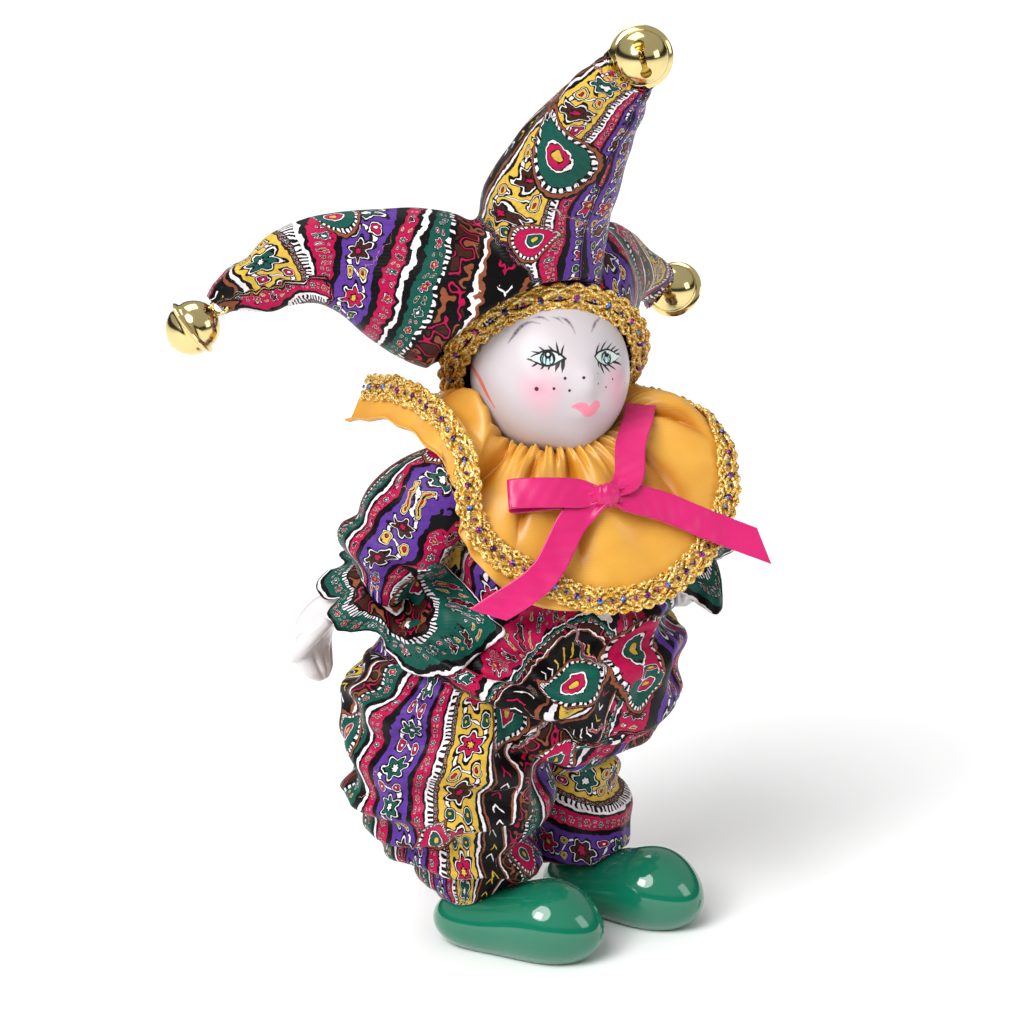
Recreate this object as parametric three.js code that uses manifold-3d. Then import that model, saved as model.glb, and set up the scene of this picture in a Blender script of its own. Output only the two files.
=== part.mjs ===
// A stuffed clown doll with glazed porcelain head, hands and boots, standing on its own feet.
// Millimetres, +Z up, the doll faces -Y and its own left is +X.

import * as THREE from 'three';
import { mergeVertices } from 'three/addons/utils/BufferGeometryUtils.js';
import Module from 'manifold-3d';

const wasm = await Module();
wasm.setup();

// Driving sizes
const MIDDLE = [0.5, 2.6];         // middle of the whole doll seen from above, which is the origin
const GAP = 0.35;                 // air between pieces that touch
const FACET = 0.08;               // detail dropped from the joined cloth solids
const BOOT = { length: 36.5, width: 19, height: 15.9 };
const BOOT_TURN = { right: 24, left: 15 };          // degrees, toes towards the doll's left
const BOOT_PLACE = { right: [-17, -6.8], left: [11.2, -9.4] };
const ANKLE_RADIUS = 4.6;
const ANKLE_TOP = 17;

const HEAD = { place: [-1.4, 0, 118], across: 15.8, deep: 16.4, up: 17, down: 17.4 };
const HEAD_TURN = -19;            // degrees about the neck, towards the doll's right
const HEAD_PITCH = -15;           // degrees, face lifted
const NECK_RADIUS = 6.6;
const NECK_PLACE = [0.2, -2.2];
const NECK_BOTTOM = 92;

const TORSO_TURN = -14;           // degrees, chest towards the doll's right
const SUIT_TOP = 99;
// The sleeve's tie and the forearm's direction, in chest terms: outward, back, up
const ARM = { tie: [37, 9.4, 76.4], way: [0.36, 0.72, -0.59] };
const WRIST_RADIUS = 3;
const TIE_RADIUS = 4.6;
const FRILL = { radius: 14.5, lobe: 3.4, reach: 6, lean: 3.4, lobeAngle: 235, wall: 0.9 };

const HAT_TURN = -7;
const HAT_RADIUS = 18.4;
const HAT_LINING = 17.1;
// The hat's face opening: a tilted plane with a raised band that carries the braid
const BRIM = { tilt: 31.5, turn: -32, forward: -2.5, band: 19.2, bandWidth: 4.2, shave: 26 };
const BRAID_WIDTH = 3.4;
const BRAID_THICKNESS = 1.2;
const COLLAR_THICKNESS = 1;
const COLLAR_MARGIN = 1.8;        // cloth left beyond the braid
const RIBBON_WIDTH = 6;
const RIBBON_THICKNESS = 0.5;

const BELL = {
  radius: 5.6, rim: 6.1, wall: 0.7,
  slot: 1.2, slotLength: 5.2, hole: 2.2, loop: 1.5, wire: 0.45,
};

const RAD = Math.PI / 180;
const V = (x, y, z) => new THREE.Vector3(x, y, z);
const lerp = THREE.MathUtils.lerp;
const bump = (x, centre, width) => Math.exp(-(((x - centre) / width) ** 2));

// A solid from a stack of rings with equal point counts, closed by a fan at each end
function ringSolid(rings) {
  const count = rings[0].length;
  const positions = [];
  const index = [];
  for (const ring of rings) for (const p of ring) positions.push(p.x, p.y, p.z);
  for (let row = 0; row + 1 < rings.length; row += 1) {
    for (let i = 0; i < count; i += 1) {
      const a = row * count + i;
      const b = row * count + (i + 1) % count;
      index.push(a, b, b + count, a, b + count, a + count);
    }
  }
  for (const [row, flip] of [[0, true], [rings.length - 1, false]]) {
    const middle = rings[row].reduce((sum, p) => sum.add(p), V(0, 0, 0)).divideScalar(count);
    positions.push(middle.x, middle.y, middle.z);
    const tip = positions.length / 3 - 1;
    for (let i = 0; i < count; i += 1) {
      const a = row * count + i;
      const b = row * count + (i + 1) % count;
      if (flip) index.push(b, a, tip);
      else index.push(a, b, tip);
    }
  }
  const geometry = new THREE.BufferGeometry();
  geometry.setAttribute('position', new THREE.Float32BufferAttribute(positions, 3));
  geometry.setIndex(index);
  return geometry;
}

// A closed sheet of even thickness: columns of points, each with its own normals
function sheetSolid(columns, below, above) {
  const rows = columns[0].points.length;
  const count = rows * 2;
  const positions = [];
  const index = [];
  for (const { points, normals } of columns) {
    const top = points.map((p, k) => p.clone().addScaledVector(normals[k], above));
    const bottom = points.map((p, k) => p.clone().addScaledVector(normals[k], -below));
    for (const p of [...top, ...bottom.reverse()]) positions.push(p.x, p.y, p.z);
  }
  for (let c = 0; c + 1 < columns.length; c += 1) {
    for (let i = 0; i < count; i += 1) {
      const a = c * count + i;
      const b = c * count + (i + 1) % count;
      index.push(a, b, b + count, a, b + count, a + count);
    }
  }
  const last = (columns.length - 1) * count;
  for (let k = 0; k + 1 < rows; k += 1) {
    const [a, b, d, e] = [k, k + 1, count - 2 - k, count - 1 - k];
    index.push(a, d, b, a, e, d);
    index.push(last + a, last + b, last + d, last + a, last + d, last + e);
  }
  const geometry = new THREE.BufferGeometry();
  geometry.setAttribute('position', new THREE.Float32BufferAttribute(positions, 3));
  geometry.setIndex(index);
  return geometry;
}

// Spline through rows of numbers, so that every field of a loft changes smoothly
function rowSpline(rows) {
  const keys = rows[0].length;
  return (t) => {
    const place = t * (rows.length - 1);
    const k = Math.min(Math.floor(place), rows.length - 2);
    const f = place - k;
    const row = (i) => rows[THREE.MathUtils.clamp(i, 0, rows.length - 1)];
    return Array.from({ length: keys }, (_, c) => {
      const [a, b, d, e] = [row(k - 1)[c], row(k)[c], row(k + 1)[c], row(k + 2)[c]];
      const m0 = (d - a) / 2;
      const m1 = (e - b) / 2;
      const f2 = f * f;
      const f3 = f2 * f;
      return (2 * f3 - 3 * f2 + 1) * b + (f3 - 2 * f2 + f) * m0
        + (3 * f2 - 2 * f3) * d + (f3 - f2) * m1;
    });
  };
}

// Level rings up a body; each row is height, centre x, centre y, half width, half depth
function levelLoft(rows, { sides, steps, turn = 0, fold = () => 0 }) {
  const at = rowSpline(rows);
  const rings = [];
  for (let s = 0; s <= steps; s += 1) {
    const t = s / steps;
    const [z, x, y, across, deep] = at(t);
    const ring = [];
    for (let i = 0; i < sides; i += 1) {
      const angle = (i / sides) * 2 * Math.PI;
      const extra = fold(t, angle / RAD);
      const px = (across + extra) * Math.cos(angle);
      const py = (deep + extra) * Math.sin(angle);
      const c = Math.cos(turn * RAD);
      const d = Math.sin(turn * RAD);
      ring.push(V(x + px * c - py * d, y + px * d + py * c, z));
    }
    rings.push(ring);
  }
  return ringSolid(rings);
}

// Rings along a spine; each row is x, y, z, radius sideways, radius upright
function spineLoft(rows, { sides, steps, fold = () => 0 }) {
  const at = rowSpline(rows);
  const rings = [];
  for (let s = 0; s <= steps; s += 1) {
    const t = s / steps;
    const [x, y, z, sideways, upright] = at(t);
    const before = V(...at(Math.max(t - 0.01, 0)));
    const after = V(...at(Math.min(t + 0.01, 1)));
    const along = after.sub(before).normalize();
    const side = V(0, 0, 1).cross(along);
    if (side.length() < 0.05) side.set(1, 0, 0);
    side.normalize();
    const up = along.clone().cross(side);
    const ring = [];
    for (let i = 0; i < sides; i += 1) {
      const angle = (i / sides) * 2 * Math.PI;
      const extra = fold(t, angle / RAD);
      ring.push(V(x, y, z)
        .addScaledVector(side, (sideways + extra) * Math.cos(angle))
        .addScaledVector(up, (upright + extra) * Math.sin(angle)));
    }
    rings.push(ring);
  }
  return ringSolid(rings);
}

// Solids for joining and cutting, and back
function solid(geometry) {
  const plain = geometry.clone();
  for (const name of Object.keys(plain.attributes)) {
    if (name !== 'position') plain.deleteAttribute(name);
  }
  const merged = mergeVertices(plain, 1e-4);
  return new wasm.Manifold(new wasm.Mesh({
    numProp: 3,
    vertProperties: new Float32Array(merged.attributes.position.array),
    triVerts: new Uint32Array(merged.index.array),
  }));
}

function shape(manifold) {
  const mesh = manifold.getMesh();
  const geometry = new THREE.BufferGeometry();
  geometry.setAttribute('position', new THREE.BufferAttribute(mesh.vertProperties, 3));
  geometry.setIndex(new THREE.BufferAttribute(mesh.triVerts, 1));
  return geometry;
}

function largest(manifold) {
  return manifold.decompose().reduce((best, piece) => (piece.volume() > best.volume() ? piece : best));
}

function moved(geometry, place, turn = [0, 0, 0]) {
  const matrix = new THREE.Matrix4().makeRotationFromEuler(new THREE.Euler(...turn, 'ZYX'));
  matrix.setPosition(...place);
  return geometry.clone().applyMatrix4(matrix);
}

// Point of the turned chest: sideways to the doll's own right, back, and height
function chestPoint(right, back, z) {
  const c = Math.cos(TORSO_TURN * RAD);
  const d = Math.sin(TORSO_TURN * RAD);
  return [NECK_PLACE[0] - right * c - back * d, NECK_PLACE[1] - right * d + back * c, z];
}

// Boots: a round toe cap, a low waist and a small heel over a flat sole
function bootGeometry(grow = 0) {
  const steps = 10;
  const sides = 14;
  const rings = [];
  for (let s = 0; s <= steps; s += 1) {
    const t = 0.5 - 0.5 * Math.cos((s / steps) * Math.PI);
    const round = Math.max(Math.sqrt(1 - (2 * t - 1) ** 4), 0.12);
    const toe = bump(t, 0.72, 0.34);
    const heel = bump(t, 0.1, 0.28);
    const half = BOOT.width / 2 * (0.62 + 0.38 * toe + 0.16 * heel) * round;
    const tall = BOOT.height * (0.6 + 0.4 * toe + 0.14 * heel);
    const ring = [];
    for (let i = 0; i < sides; i += 1) {
      const angle = (i / sides) * 2 * Math.PI;
      const x = (half + grow) * Math.cos(angle);
      const z = tall * 0.44 + (tall * 0.56 * round + grow) * Math.sin(angle);
      ring.push(V(x, -(t - 0.5) * BOOT.length, Math.max(z, 0)));
    }
    rings.push(ring);
  }
  return ringSolid(rings);
}

function boot(side) {
  const turn = BOOT_TURN[side] * RAD;
  const [x, y] = BOOT_PLACE[side];
  const ankle = new THREE.CylinderGeometry(ANKLE_RADIUS, ANKLE_RADIUS, ANKLE_TOP - 6, 12);
  ankle.rotateX(Math.PI / 2).translate(0, BOOT.length * 0.2, (ANKLE_TOP + 6) / 2);
  const whole = solid(bootGeometry()).add(solid(ankle));
  return moved(shape(whole), [x, y, 0], [0, 0, turn]);
}

// Head: a round porcelain head with chin, small nose and full cheeks, on a short neck
function headSurface(grow = 0) {
  const rows = 12;
  const sides = 24;
  const rings = [];
  for (let r = 0; r <= rows; r += 1) {
    const lat = lerp(-84, 84, r / rows);
    const ring = [];
    for (let i = 0; i < sides; i += 1) {
      const u = (i / sides) * 2 * Math.PI;
      const lon = u - 0.35 * Math.sin(u);               // closer rings of points on the face
      const face = lon / RAD > 180 ? lon / RAD - 360 : lon / RAD;
      const nose = 1.5 * bump(face, 0, 9) * bump(lat, -8, 11);
      const cheeks = 0.7 * (bump(face, 30, 17) + bump(face, -30, 17)) * bump(lat, -14, 14);
      const eyes = -0.7 * (bump(face, 25, 11) + bump(face, -25, 11)) * bump(lat, 7, 9);
      const mouth = 0.5 * bump(face, 0, 12) * bump(lat, -28, 7);
      const chin = 0.9 * bump(face, 0, 26) * bump(lat, -58, 15);
      const jaw = lat < 0 ? 1 - 0.13 * (lat / 90) ** 2 : 1;
      const out = 1 + (nose + cheeks + eyes + mouth + chin + grow) / HEAD.across;
      const tall = lat < 0 ? HEAD.down : HEAD.up;
      ring.push(V(
        HEAD.across * Math.cos(lat * RAD) * Math.sin(lon) * jaw * out,
        -HEAD.deep * Math.cos(lat * RAD) * Math.cos(lon) * out,
        tall * Math.sin(lat * RAD) * out,
      ));
    }
    rings.push(ring);
  }
  return moved(ringSolid(rings), HEAD.place, [HEAD_PITCH * RAD, 0, HEAD_TURN * RAD]);
}

function neck(grow = 0) {
  const top = 106;
  const tall = top - NECK_BOTTOM + grow;
  const stem = new THREE.CylinderGeometry(NECK_RADIUS + grow, NECK_RADIUS + grow, tall, 20);
  return stem.rotateX(Math.PI / 2).translate(...NECK_PLACE, top - tall / 2);
}

function head() {
  return shape(solid(headSurface()).add(solid(neck())));
}

// Hat: a hood over the back of the head that grows into three drooping horns
function hatFrame(angle, forward, z) {
  const a = (HAT_TURN + angle) * RAD;
  return [HEAD.place[0] + forward * Math.sin(a), HEAD.place[1] - forward * Math.cos(a), z];
}

function horn(angle, rows, sides, steps) {
  const placed = rows.map(([out, z, sideways, upright]) => (
    [...hatFrame(angle, out, z), sideways, upright]));
  const fold = (t, at) => (0.5 + 0.6 * t) * Math.cos(3 * at * RAD + 5 * t) * (1 - bump(t, 0, 0.3));
  return solid(spineLoft(placed, { sides, steps, fold }));
}

// Each row: reach from the middle of the head, height, half width, half height
const HORNS = {
  front: [0, [[-2, 124, 12, 11], [-4, 138, 13.6, 13], [-2, 150, 13.6, 12.4], [3, 159, 12.6, 11.4],
    [9, 167.5, 10.4, 9.6], [14.5, 174, 8.6, 8], [20, 179.5, 7.4, 6.6], [25, 183, 5.6, 5],
    [28, 184.6, 1.6, 1.4]]],
  right: [-120, [[0, 124, 13, 13], [12, 131, 14, 14.6], [22, 135, 12.6, 15.6], [31, 138.6, 10.6, 14],
    [39, 141.4, 8.8, 10.6], [46, 142.6, 7.4, 8.6], [52, 141.6, 6.6, 7.6], [57, 139.4, 5.4, 6.2],
    [63.5, 136.6, 3.8, 4.2], [67.5, 133, 1.6, 1.6]]],
  left: [120, [[0, 124, 13, 13], [12, 130, 13, 14], [22, 131, 11, 12.4], [31, 131, 9, 10],
    [39, 130, 7.4, 8], [46, 128.4, 6.2, 6.8], [52, 126, 5.4, 6], [57, 123.4, 4.6, 5],
    [61.5, 120.6, 3.4, 3.6], [64.5, 118, 1.6, 1.6]]],
};

// The face opening lies in a tilted plane: geometry modelled around the Y axis is set into it
function brimPlaced(geometry) {
  const a = BRIM.turn * RAD;
  return geometry.rotateX(BRIM.tilt * RAD).rotateZ(a).translate(
    HEAD.place[0] + BRIM.forward * Math.sin(a), HEAD.place[1] - BRIM.forward * Math.cos(a), HEAD.place[2]);
}

function brimDisc(radius, back, front) {
  const disc = new THREE.CylinderGeometry(radius, radius, front - back, 28);
  return solid(brimPlaced(disc.translate(0, -(front + back) / 2, 0)));
}

function hat() {
  const cap = new THREE.SphereGeometry(HAT_RADIUS, 16, 10);
  cap.rotateX(Math.PI / 2).scale(1, 1.03, 1.05).translate(...HEAD.place);
  let whole = solid(cap);
  for (const [angle, rows] of Object.values(HORNS)) whole = whole.add(horn(angle, rows, 10, 8));
  whole = whole.subtract(brimDisc(BRIM.shave, -BRIM.bandWidth, 12).subtract(brimDisc(BRIM.band, -20, 20)))
    .add(brimDisc(BRIM.band, -BRIM.bandWidth, 0))
    .subtract(brimDisc(BRIM.band + 1, 0, 40));
  const room = new THREE.SphereGeometry(HAT_LINING, 12, 8);
  room.rotateX(Math.PI / 2).scale(1, 1.03, 1.04).translate(...HEAD.place);
  whole = whole.subtract(solid(room)).subtract(solid(neck(1.2)));
  for (const place of Object.values(BELL_PLACES)) whole = whole.subtract(bellSeat(...place));
  whole = whole.subtract(collarRoom(4, 2 * GAP));
  return shape(largest(whole).simplify(FACET));
}

// Suit: one sewn and stuffed garment
const gather = (count, depth, t0, width) => (t, angle) => (
  depth * bump(t, t0, width) * Math.cos(count * angle * RAD));

// The seat's slack hangs over the right thigh as a rolled fold: x, y, z, half width, half height
const HIP_FOLD = [[-33, 9, 68, 1.4, 1.2], [-35.2, 1.4, 65.8, 3, 2.6], [-33.2, -5.6, 63, 3.8, 3.4],
  [-29.4, -10.4, 60.8, 4, 3.8], [-25.8, -15.6, 59.6, 4, 4], [-21, -19, 57, 3.8, 4],
  [-15, -20, 52, 2, 2]];

function suit() {
  const body = levelLoft([[39, -3.4, -3, 12, 11], [44, -3.6, -4, 20, 18], [51, -3.8, -5, 24, 22],
    [60, -3.8, -5, 25.4, 23], [70, -3, -4, 24.4, 21.4], [80, -1.8, -3, 22, 18.5],
    [89, -0.5, -2.4, 20, 14.5], [95, 0, -2.2, 16, 11.5], [SUIT_TOP, 0.2, -2.2, 9.5, 8.5]],
  { sides: 18, steps: 8, turn: TORSO_TURN });
  const legRight = levelLoft([[8, -18, 4.2, 7.4, 6.9], [12, -18.2, 4.2, 10, 9.6], [17, -19, 4.8, 12.6, 12.2],
    [24, -22, 5.8, 16.6, 15.6], [33, -23.8, 5.8, 20.6, 18.6], [44, -24.2, 5.8, 22, 19.6],
    [56, -23.4, 6.6, 20.8, 18.6], [66, -20, 6.6, 17, 15], [76, -14, 4, 12, 10]],
  { sides: 16, steps: 8, fold: gather(8, 0.8, 0, 0.14) });
  const legLeft = levelLoft([[10.5, 8.6, 1.4, 8.5, 7.5], [15, 8.6, 1.4, 11, 10], [22, 8.2, 1.6, 11.8, 10.8],
    [29, 7, 2.2, 10.6, 10], [36, 5.4, 3.2, 10, 10], [43, 4.6, 3.6, 13, 14], [52, 4, 3.6, 15, 16],
    [66, 2, 2, 13, 12]],
  { sides: 16, steps: 7, fold: gather(8, 0.8, 0, 0.14) });
  const lip = spineLoft(HIP_FOLD, { sides: 8, steps: 7 });
  let whole = solid(body).add(solid(legRight)).add(solid(legLeft)).add(solid(lip));
  for (const side of [1, -1]) {
    const sleeve = spineLoft([[12, 0, 95, 8, 8], [21, 2, 97, 9.6, 9.2], [28.5, 5.4, 93.5, 10.8, 10.4],
      [33.4, 8.2, 87, 10.6, 10.6], [36, 9.2, 80.6, 7.6, 7.6], [...ARM.tie, TIE_RADIUS, TIE_RADIUS]]
      .map(([right, back, z, a, b]) => [...chestPoint(right * side, back, z), a, b]),
    { sides: 10, steps: 6 });
    whole = whole.add(solid(sleeve)).add(frill(side));
  }
  for (const side of ['right', 'left']) {
    const turn = BOOT_TURN[side] * RAD;
    const [x, y] = BOOT_PLACE[side];
    whole = whole.subtract(solid(moved(bootGeometry(GAP), [x, y, 0], [0, 0, turn])));
    const bore = ANKLE_RADIUS + GAP;
    const well = new THREE.CylinderGeometry(bore, bore, ANKLE_TOP + GAP, 12);
    well.rotateX(Math.PI / 2).translate(0, BOOT.length * 0.2, (ANKLE_TOP + GAP) / 2);
    whole = whole.subtract(solid(moved(well, [x, y, 0], [0, 0, turn])));
  }
  whole = whole.subtract(solid(neck(GAP)));
  for (const side of [1, -1]) whole = whole.subtract(forearm(side, GAP));
  whole = whole.subtract(collarRoom(COLLAR_THICKNESS + 3 * GAP, 6));
  return shape(largest(whole).simplify(FACET));
}

// Point about the forearm: distance from the sleeve's tie, angle about it and radius
function armPoint(side, along, angle = 0, radius = 0) {
  const [r, b, z] = ARM.tie;
  const [wr, wb, wz] = ARM.way;
  const tie = V(...chestPoint(side * r, b, z));
  const way = V(...chestPoint(side * (r + wr), b + wb, z + wz)).sub(tie).normalize();
  const level = V(0, 0, 1).cross(way).normalize();
  const lift = way.clone().cross(level);
  return tie.addScaledVector(way, along)
    .addScaledVector(level, radius * Math.cos(angle))
    .addScaledVector(lift, radius * Math.sin(angle));
}

// Frill: the cuff's free end flares past the tie as a ruffled trumpet with one longer side
function frill(side) {
  const sides = 15;
  const steps = 2;
  const skin = (inset) => {
    const rings = [];
    for (let s = 0; s <= steps; s += 1) {
      const t = s / steps;
      const ring = [];
      for (let i = 0; i < sides; i += 1) {
        const angle = (i / sides) * 2 * Math.PI;
        const outward = side > 0 ? angle : Math.PI - angle;
        const lobe = Math.cos(outward - FRILL.lobeAngle * RAD);
        const wave = Math.cos(5 * outward + 0.7) * 1.9 * t + Math.cos(3 * outward) * 1.2 * t;
        const full = FRILL.radius + FRILL.lobe * lobe;
        const radius = lerp(TIE_RADIUS, full, t ** 0.75) + wave - inset;
        const along = -0.6 + (FRILL.reach - FRILL.lean * lobe) * t + Math.cos(5 * outward + 2) * 1.4 * t;
        ring.push(armPoint(side, along + inset, angle, radius));
      }
      rings.push(ring);
    }
    return rings;
  };
  return solid(ringSolid([...skin(0), ...skin(FRILL.wall).reverse()]));
}

function forearm(side, grow = 0) {
  const rings = [];
  for (const along of [-5 - grow, 14 + grow]) {
    const ring = [];
    for (let i = 0; i < 12; i += 1) {
      const angle = (i / 12) * 2 * Math.PI;
      ring.push(armPoint(side, along, angle, WRIST_RADIUS + grow));
    }
    rings.push(ring);
  }
  return solid(ringSolid(rings));
}

// Hands: a short forearm, a soft palm and curled fingers
function hand(side) {
  const rows = [[-4, 0, 3, 3], [7, 0.2, 3, 3], [11.5, 1.6, 3.4, 3.1], [15.5, 1.8, 4.8, 3.7],
    [20, 0.3, 5.8, 4.1], [23, -3.1, 5.8, 4], [24, -6.8, 4.4, 3.2], [24.4, -9.6, 1.6, 1.3]];
  const placed = rows.map(([along, lift, across, thick]) => {
    const p = armPoint(side, along, Math.PI / 2, lift);
    return [p.x, p.y, p.z, across, thick];
  });
  const fold = (t, angle) => -0.45 * Math.max(t - 0.6, 0) / 0.4 * (1 + Math.cos(4 * angle * RAD));
  const palm = solid(spineLoft(placed, { sides: 10, steps: 8, fold }));
  const thumbRows = [[14, 2.4, 1.6], [17, 4.8, 1.9], [20, 5.4, 1.7], [22.6, 5, 0.7]];
  const thumb = spineLoft(thumbRows.map(([along, across, radius]) => {
    const p = armPoint(side, along, side > 0 ? 0 : Math.PI, across);
    return [p.x, p.y, p.z - (along - 14) * 0.5, radius, radius];
  }), { sides: 7, steps: 4 });
  return shape(palm.add(solid(thumb)));
}

// Collar: a gathered ruffle from the neck to a waving rim that lifts over the right shoulder
const RIM = [[-23.4, 28.6, 113], [-24.2, 18.6, 115.2], [-25.4, 8.9, 114], [-26.3, 0.9, 110.9],
  [-27.1, -4, 106.6], [-29.6, -5.8, 98.7], [-29.8, -8.4, 92], [-27.7, -11.9, 87], [-17.1, -22.5, 80.2],
  [-4.4, -31, 80.4], [7.6, -33.1, 86.5], [18.6, -29.9, 96.2], [24.1, -22.3, 104.8], [26, -10, 106.4],
  [27, 4, 105.4], [22, 17, 104.6], [12, 25, 105.6], [-1, 28, 106.6], [-12, 26, 107.6]]
  .map((p) => V(...p));
const rim = new THREE.CatmullRomCurve3(RIM);
// Gathered neck edge: a leaning ring, high under the chin; angles are degrees from the chest side
const COLLAR_NECK = { radius: 12.4, z: 102, lean: 3.6, forward: 0.8, from: -152, to: 168 };
const COLLAR_RISE = [[-1], [-1], [1], [5], [5.5], [4.5], [6], [8], [9], [7], [5]];
const COLLAR_COLUMNS = 30;
const COLLAR_ROWS = [0, 0.3, 0.62, 0.92, 1.04, 1.04 + COLLAR_MARGIN / 30];
const collarRise = rowSpline(COLLAR_RISE);

function collarPoint(s, t) {
  const edge = rim.getPointAt(THREE.MathUtils.clamp(t, 0, 1));
  const a = lerp(COLLAR_NECK.from, COLLAR_NECK.to, t) * RAD;
  const radius = COLLAR_NECK.radius + COLLAR_NECK.forward * Math.cos(a);
  const root = V(HEAD.place[0] + radius * Math.sin(a), HEAD.place[1] - radius * Math.cos(a),
    COLLAR_NECK.z + COLLAR_NECK.lean * Math.cos(a));
  const p = root.lerp(edge, s);
  p.z += 4 * collarRise(t)[0] * s * (1 - s);
  return p;
}

function collarNormal(s, t) {
  const e = 0.01;
  const across = collarPoint(s + e, t).sub(collarPoint(s - e, t));
  const along = collarPoint(s, Math.min(t + e, 1)).sub(collarPoint(s, Math.max(t - e, 0)));
  return across.cross(along).normalize();
}

function collarColumns(rows) {
  return Array.from({ length: COLLAR_COLUMNS + 1 }, (_, c) => {
    const t = c / COLLAR_COLUMNS;
    return {
      points: rows.map((s) => collarPoint(s, t)),
      normals: rows.map((s) => collarNormal(s, t)),
    };
  });
}

function collar() {
  return sheetSolid(collarColumns(COLLAR_ROWS), COLLAR_THICKNESS, 0);
}

// Room kept for the collar: a little all round it, and more straight down and up
function collarRoom(below, above) {
  const columns = collarColumns(COLLAR_ROWS);
  const skin = solid(sheetSolid(columns, COLLAR_THICKNESS + GAP, GAP));
  for (const column of columns) column.normals = column.normals.map(() => V(0, 0, 1));
  return solid(sheetSolid(columns, below, above)).add(skin);
}

function collarBraid() {
  const rows = [COLLAR_ROWS[3], COLLAR_ROWS[4]];
  return sheetSolid(collarColumns(rows), -GAP, GAP + BRAID_THICKNESS);
}

// Ribbon: a flat satin strap, one loop, a knot and two cut tails, lying on the collar
function onCollar(s, t, lift) {
  return collarPoint(s, t).addScaledVector(collarNormal(s, t), lift);
}

function band(facing, points) {
  const curve = new THREE.CatmullRomCurve3(points);
  const reach = points[Math.ceil(points.length / 2)].clone().sub(points[0]);
  const wide = reach.cross(collarNormal(...facing)).normalize();
  const steps = Math.round(1.5 * (points.length - 1));
  const columns = [];
  for (let k = 0; k <= steps; k += 1) {
    const p = curve.getPoint(k / steps);
    const along = curve.getTangent(k / steps);
    const across = wide.clone().addScaledVector(along, -along.dot(wide)).normalize();
    const normal = across.clone().cross(along).normalize();
    const half = across.multiplyScalar(RIBBON_WIDTH / 2);
    columns.push({ points: [p.clone().sub(half), p.clone().add(half)], normals: [normal, normal] });
  }
  return solid(sheetSolid(columns, RIBBON_THICKNESS / 2, RIBBON_THICKNESS / 2));
}

const BOW = [0.52, 0.405];
const TAIL_ENDS = [V(-32.2, -13.6, 77.6), V(17.2, -41.2, 86.6)];

function ribbon() {
  const bow = onCollar(...BOW, 2.6);
  const knot = new THREE.SphereGeometry(2.6, 8, 6);
  knot.scale(1.1, 0.7, 1.1).rotateZ(-0.7).translate(...bow.toArray());
  return shape(solid(knot)
    .add(band([0.3, 0.56], [bow, onCollar(0.46, 0.443, 2), onCollar(0.25, 0.5, 1.8),
      onCollar(0.23, 0.57, 2.3), onCollar(0.28, 0.625, 1.4)]))
    .add(band(BOW, [bow, onCollar(0.5, 0.345, 1.6), onCollar(0.6, 0.275, 1.6), onCollar(0.6, 0.272, 3.2),
      onCollar(0.5, 0.345, 3.4), bow]))
    .add(band(BOW, [bow, onCollar(0.63, 0.362, 2.2), onCollar(0.96, 0.32, 3), TAIL_ENDS[0]]))
    .add(band(BOW, [bow, onCollar(0.65, 0.46, 2.2), onCollar(0.98, 0.51, 3), TAIL_ENDS[1]])));
}

// Jingle bell: a crimped hollow ball with a rim, a slot with round ends and a wire loop
const BELL_PLACES = {
  front: [[-5.1, -27.5, 185.8], [-0.62, -0.66, 0.1]],
  right: [[-58.6, 41.6, 129.9], [-0.6, 0.5, -0.62]],
  left: [[59.4, 22.6, 119.2], [0.8, 0.3, -0.5]],
};

function bellPlaced(geometry, place, way) {
  const m = new THREE.Matrix4().makeRotationFromQuaternion(
    new THREE.Quaternion().setFromUnitVectors(V(0, -1, 0), V(...way).normalize()));
  return geometry.applyMatrix4(m.setPosition(...place));
}

function ball(radius, rimRadius, rows, turns) {
  const points = [];
  for (let k = 0; k <= rows; k += 1) {
    const a = lerp(-90, 90, k / rows) * RAD;
    const r = k * 2 === rows ? rimRadius : radius * Math.cos(a);
    points.push(new THREE.Vector2(k % rows ? r : 0, radius * Math.sin(a)));
  }
  return solid(new THREE.LatheGeometry(points, turns));
}

function bell(place, way) {
  const inner = BELL.radius - BELL.wall;
  let shell = ball(BELL.radius, BELL.rim, 6, 10).subtract(ball(inner, inner, 4, 8));
  const slit = new THREE.BoxGeometry(BELL.slotLength, BELL.radius, BELL.slot);
  shell = shell.subtract(solid(slit.translate(0, -BELL.radius, 0)));
  for (const end of [-1, 1]) {
    const hole = new THREE.CylinderGeometry(BELL.hole / 2, BELL.hole / 2, BELL.radius, 5);
    shell = shell.subtract(solid(hole.translate(end * BELL.slotLength / 2, -BELL.radius, 0)));
  }
  const loop = new THREE.TorusGeometry(BELL.loop, BELL.wire, 3, 6);
  shell = shell.add(solid(loop.translate(0, BELL.radius + BELL.loop - BELL.wire, 0)));
  return bellPlaced(shape(shell), place, way);
}

// Room that a horn's tip leaves for its bell and the bell's loop
function bellSeat(place, way) {
  const seat = new THREE.SphereGeometry(BELL.rim + 2 * GAP, 10, 6);
  const slack = BELL.loop + BELL.wire + GAP;
  const room = new THREE.CylinderGeometry(slack, slack, BELL.loop * 2 + GAP, 8);
  room.translate(0, BELL.radius + BELL.loop, 0);
  return solid(bellPlaced(seat, place, way)).add(solid(bellPlaced(room, place, way)));
}

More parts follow.
